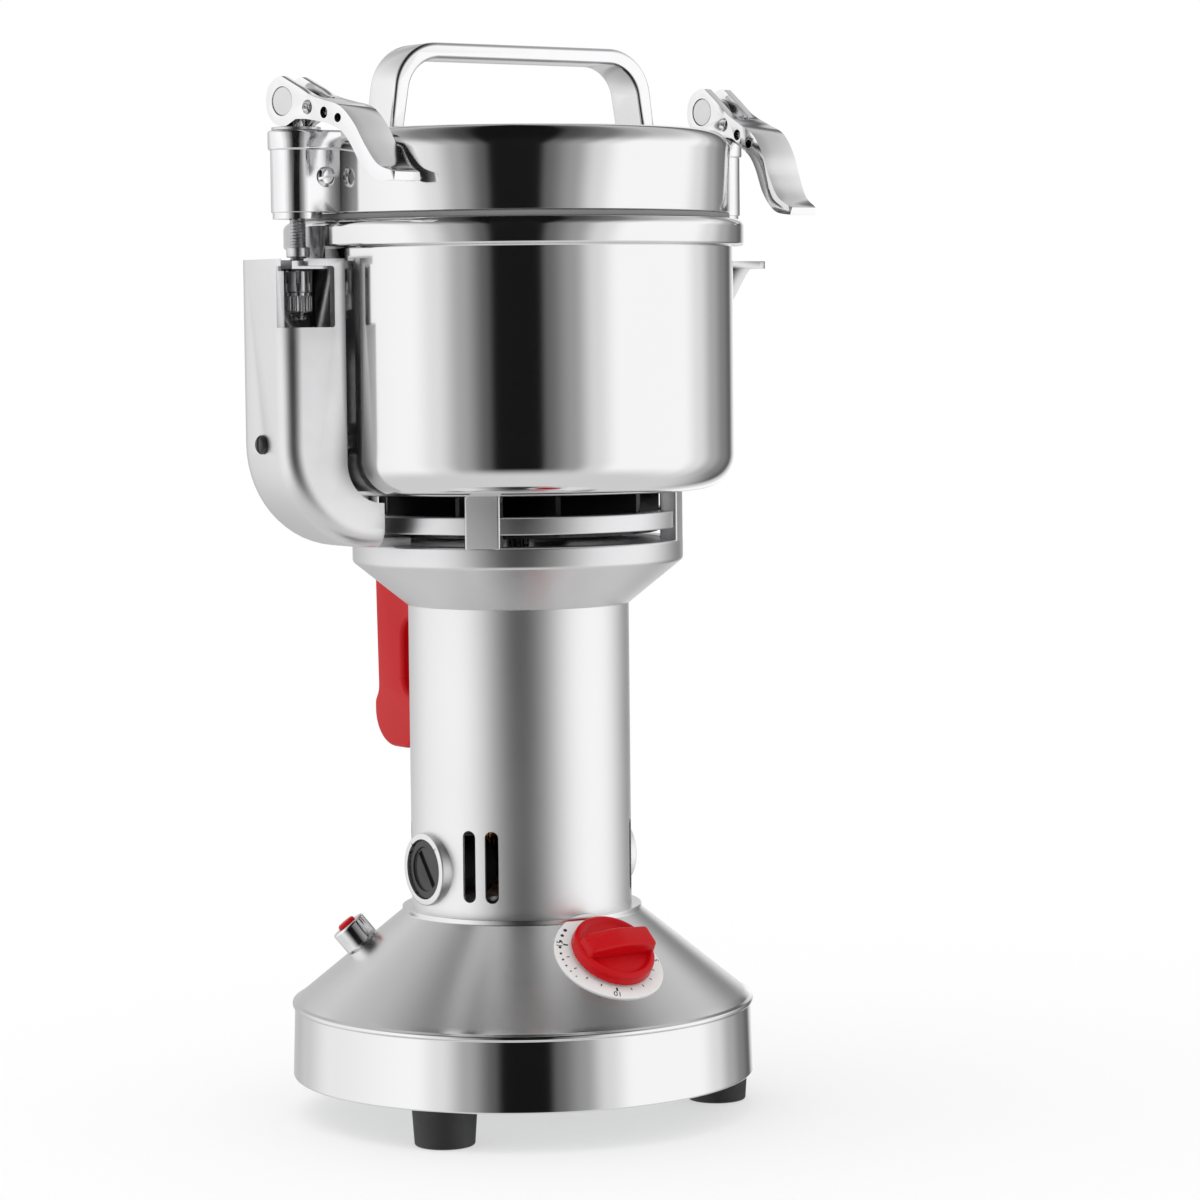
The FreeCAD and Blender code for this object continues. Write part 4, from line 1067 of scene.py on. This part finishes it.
def round_back(work):
    """Round the two long edges of the arm's back, bend and underside."""
    turn_x, turn_z = ARM_BEND_RADIUS - ARM_OUTER, ARM_BEND_RADIUS + RING_TOP
    chosen = []
    for edge in work.edges:
        one, two = (vertex.co / MM for vertex in edge.verts)
        middle = (one + two) / 2
        if abs(one.y - two.y) > 0.001:
            continue
        on_back = abs(middle.x + ARM_OUTER) < 0.01
        on_foot = abs(middle.z - RING_TOP) < 0.01
        reach = math.hypot(middle.x - turn_x, middle.z - turn_z)
        on_bend = abs(reach - ARM_BEND_RADIUS) < 0.3 and middle.x < turn_x and middle.z < turn_z
        if on_back or on_foot or on_bend:
            chosen.append(edge)
    bmesh.ops.bevel(work, geom=chosen, offset=ARM_ROUND * MM, segments=ARM_ROUND_STEPS, profile=0.5,
                    affect="EDGES")


def hinge_arm():
    """Cast channel arm that bends up from the bracket's ring, open towards the bowl."""
    wall, outer = ARM_WALL, -ARM_OUTER
    outside = [(outer, ARM_TOP), (outer, RING_TOP, ARM_BEND_RADIUS), (-ARM_FOOT, RING_TOP),
               (-ARM_FOOT, ARM_FLOOR), (-ARM_INNER, ARM_FLOOR, 13.5), (-ARM_INNER, ARM_TOP)]
    arm = reworked(prism("look_hinge_arm", outside, -ARM_HALF, ARM_HALF, "y"), round_back)
    room = [(outer + wall, ARM_TOP + 4), (outer + wall, RING_TOP + wall, ARM_BEND_RADIUS - wall),
            (-55, RING_TOP + wall), (-55, 229), (-71, 229), (-71, ARM_TOP + 4)]
    combine(arm, prism("room", room, -ARM_HALF + wall, ARM_HALF - wall, "y"))
    combine(arm, prism("window", rectangle(-101, -81, 271.5, 291.6, 1), -17, -10.6, "y"))
    combine(arm, prism("notch", rectangle(-99.2, -90.8, 290, 295), -17, -9, "y"))
    combine(arm, rod("screw_hole", 2.2, (-104, 0, ARM_BEND_Z), (-90, 0, ARM_BEND_Z)))
    combine(arm, prism("tongue", rectangle(-64, -49.5, RING_TOP, 201), -10, 10, "y"), "UNION")
    soften(arm, 0.5, 3, 40)
    finish_piece(arm, "hinge_arm", "mill", "cast_aluminium")


def rear_grip():
    """Red moulded grip behind the column, with a finger gap and a rounded heel."""
    outline = [
        (30, 190), (79.5, 190, 3), (78, 141, 6), (80.5, 137, 4), (80.5, 121, 13),
        (57, 121, 8), (50, 128, 5), (30, 128)]
    grip = prism("look_rear_grip", outline, -GRIP_HALF, GRIP_HALF, "x")
    combine(grip, prism("gap", rectangle(44, 61, 140, 168, 7, 7), -20, 20, "x"))
    soften(grip, 2.8, 6, 40)
    combine(grip, upright("column_room", COLUMN_RADIUS, 0, 100, 180, SEGMENTS))
    combine(grip, lathe("flare_room", [
        (0, COLUMN_TOP - 0.01), (38.4, COLUMN_TOP), (57.3, RING_BOTTOM), (57.3, 220), (0, 220)]))
    finish_piece(grip, "rear_grip", "mill", "red_plastic")


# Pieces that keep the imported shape

def merged(work):
    """Merge points that share a place, then make the faces look outwards."""
    bmesh.ops.remove_doubles(work, verts=work.verts, dist=1e-6)
    face_outwards(work)


def dressed_copy(node):
    """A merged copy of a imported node's mesh."""
    piece = frame["nodes"][node].copy()
    piece.data = piece.data.copy()
    piece.name = "look_" + node
    piece.parent = None
    for key in [key for key in piece.keys() if key.startswith("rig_")]:
        del piece[key]
    bpy.context.scene.collection.objects.link(piece)
    piece.matrix_world = Matrix.Identity(4)
    return reworked(piece, merged)


def cooling_fan():
    """Fan under the bowl, drawn up into the gap: height z above the back plate is multiplied by the
    stretch and stops at the top, and radius r becomes r + growth * r * (r / plate radius) squared."""
    fan = dressed_copy("cooling_fan")
    base = FAN_BOTTOM * MM
    for vertex in fan.data.vertices:
        x, y, z = vertex.co
        grown = 1 + FAN_GROWTH * (math.hypot(x, y) / (FAN_PLATE * MM)) ** 2
        vertex.co = (x * grown, y * grown, min(base + FAN_STRETCH * (z - base), FAN_TOP * MM))
    fan.data.update()
    finish_piece(fan, "cooling_fan", "rotor", "black_plastic")


def remaining_nodes():
    """Every node that no look stands for yet, as a smooth copy with its slot's material."""
    record = frame["record"]
    slots = {part["node"]: part["material_slot"] for part in record["subparts"]}
    for body, nodes in record["behaviour"]["bodies"].items():
        for node in nodes:
            if frame["nodes"][node].hide_render:
                continue
            piece = dressed_copy(node)
            piece.hide_render = False
            finish_piece(piece, node, body, slots[node])


# Studio

def ground():
    """Plain pale floor, white to the camera where nothing shades it."""
    half, low = FLOOR_HALF, -FLOOR_DROP
    corners = [(-half, -half, low), (half, -half, low), (half, half, low), (-half, half, low)]
    floor = new_object("floor", corners, [[0, 1, 2, 3]])
    material, tree, shader = new_material("floor")
    shader.inputs["Base Color"].default_value = FLOOR_COLOUR
    shader.inputs["Roughness"].default_value = FLOOR_ROUGHNESS
    path = add(tree, "ShaderNodeLightPath").outputs
    reach = add(tree, "ShaderNodeVectorMath", {0: object_place(tree)}, operation="LENGTH").outputs["Value"]
    fade = mapped(tree, reach, 0.1, 0.6, FLOOR_GLOW, 1, "SMOOTHSTEP")
    glow = add(tree, "ShaderNodeEmission", {"Color": WHITE, "Strength": 1})
    seen = maths(tree, "MULTIPLY", path["Is Camera Ray"], fade)
    pale = add(tree, "ShaderNodeMixShader", {0: seen, 1: shader, 2: glow})
    clear = add(tree, "ShaderNodeBsdfTransparent")
    mixed = add(tree, "ShaderNodeMixShader", {0: path["Is Glossy Ray"], 1: pale, 2: clear})
    tree.links.new(mixed.outputs["Shader"], tree.nodes["Material Output"].inputs["Surface"])
    floor.data.materials.append(material)


def level_part(tree, parts, x, y):
    """How far a direction goes along the level direction (x, y)."""
    products = [maths(tree, "MULTIPLY", parts[axis], share) for axis, share in (("X", x), ("Y", y))]
    return maths(tree, "ADD", *products)


def ring_of_panels(tree, parts):
    """Brightness of the studio's panels by the angle of a direction round the camera's own."""
    x, y = spoke(VIEW_AZIMUTH)
    along = level_part(tree, parts, x, y)
    across = level_part(tree, parts, -y, x)
    raised = maths(tree, "MAXIMUM", parts["Z"], 0)
    angle = maths(tree, "ARCTAN2", across, maths(tree, "ADD", along, raised))
    share = maths(tree, "ADD", maths(tree, "DIVIDE", angle, 2 * math.pi), 0.5)
    ramp = add(tree, "ShaderNodeValToRGB", {"Fac": share})
    ramp.color_ramp.interpolation = "EASE"
    elements = ramp.color_ramp.elements
    while len(elements) > 1:
        elements.remove(elements[0])
    elements[0].position = 1
    for degrees, level in STUDIO_STOPS:
        stop = elements.new((degrees + 180) / 360) if degrees < 180 else elements[len(elements) - 1]
        stop.color = (level, level, level, 1)
    return ramp


def studio_light():
    """World: white to the camera, bright panels round a dark camera side for reflections."""
    world = bpy.data.worlds.new("studio")
    bpy.context.scene.world = world
    world.use_nodes = True
    tree = world.node_tree
    tree.nodes.clear()
    parts = parts_of(tree, add(tree, "ShaderNodeTexCoord").outputs["Generated"])
    high = mapped(tree, parts["Z"], 0.25, 0.75, 1, OVERHEAD, "SMOOTHSTEP")
    low = mapped(tree, parts["Z"], -0.35, -0.75, kind="SMOOTHSTEP")
    dimmed = add(tree, "ShaderNodeVectorMath", {0: ring_of_panels(tree, parts)}, operation="SCALE")
    tree.links.new(high, dimmed.inputs["Scale"])
    pattern = add(tree, "ShaderNodeMix", {
        0: low, 6: dimmed, 7: (TABLE_GLOW, TABLE_GLOW, TABLE_GLOW, 1)}, data_type="RGBA")
    path = add(tree, "ShaderNodeLightPath").outputs
    reflected = add(tree, "ShaderNodeBackground", {"Color": pattern.outputs[2], "Strength": STUDIO_GAIN})
    plain = add(tree, "ShaderNodeBackground", {"Color": WHITE, "Strength": DIFFUSE_LEVEL})
    seen = add(tree, "ShaderNodeBackground", {"Color": WHITE, "Strength": 1})
    lit = add(tree, "ShaderNodeMixShader", {0: path["Is Glossy Ray"], 1: plain, 2: reflected})
    whole = add(tree, "ShaderNodeMixShader", {0: path["Is Camera Ray"], 1: lit, 2: seen})
    add(tree, "ShaderNodeOutputWorld", {"Surface": whole})


def camera():
    """Camera at the photograph's angle and distance."""
    data = bpy.data.cameras.new("camera")
    data.lens = VIEW_LENS
    data.sensor_width = VIEW_SENSOR
    eye = in_scene("camera", data)
    aim = (rotation(VIEW_AZIMUTH + 90 - VIEW_YAW) @ rotation(90 - VIEW_PITCH, "X")
           @ rotation(VIEW_ROLL, "Z"))
    spot = Vector((*(VIEW_DISTANCE * spoke(VIEW_AZIMUTH)), VIEW_HEIGHT)) * MM
    eye.matrix_world = Matrix.Translation(spot) @ aim
    bpy.context.scene.camera = eye


def top_lamp():
    """A soft square lamp that looks at the middle of the machine."""
    data = bpy.data.lights.new("top_lamp", "AREA")
    data.shape = "SQUARE"
    data.size = LAMP_SIZE
    data.energy = LAMP_POWER
    light = in_scene("top_lamp", data)
    light.location = LAMP_SPOT
    light.rotation_euler = (Vector(LAMP_AIM) - Vector(LAMP_SPOT)).to_track_quat("-Z", "Y").to_euler()
    light.visible_glossy = False


def studio():
    """Floor, light and camera."""
    ground()
    studio_light()
    top_lamp()
    camera()
    bpy.context.scene.view_settings.view_transform = "Standard"


def looks():
    """Every dressed piece."""
    for make in (base_shell, rubber_feet, dial_plate, dial_marks, timer_knob, reset_parts, column_tube,
                 brush_caps, bowl_bracket, bowl, lid, lid_handle, lid_ears, visible_screws, clamps,
                 hinge_arm, rear_grip, cooling_fan, remaining_nodes):
        make()


looks()
studio()
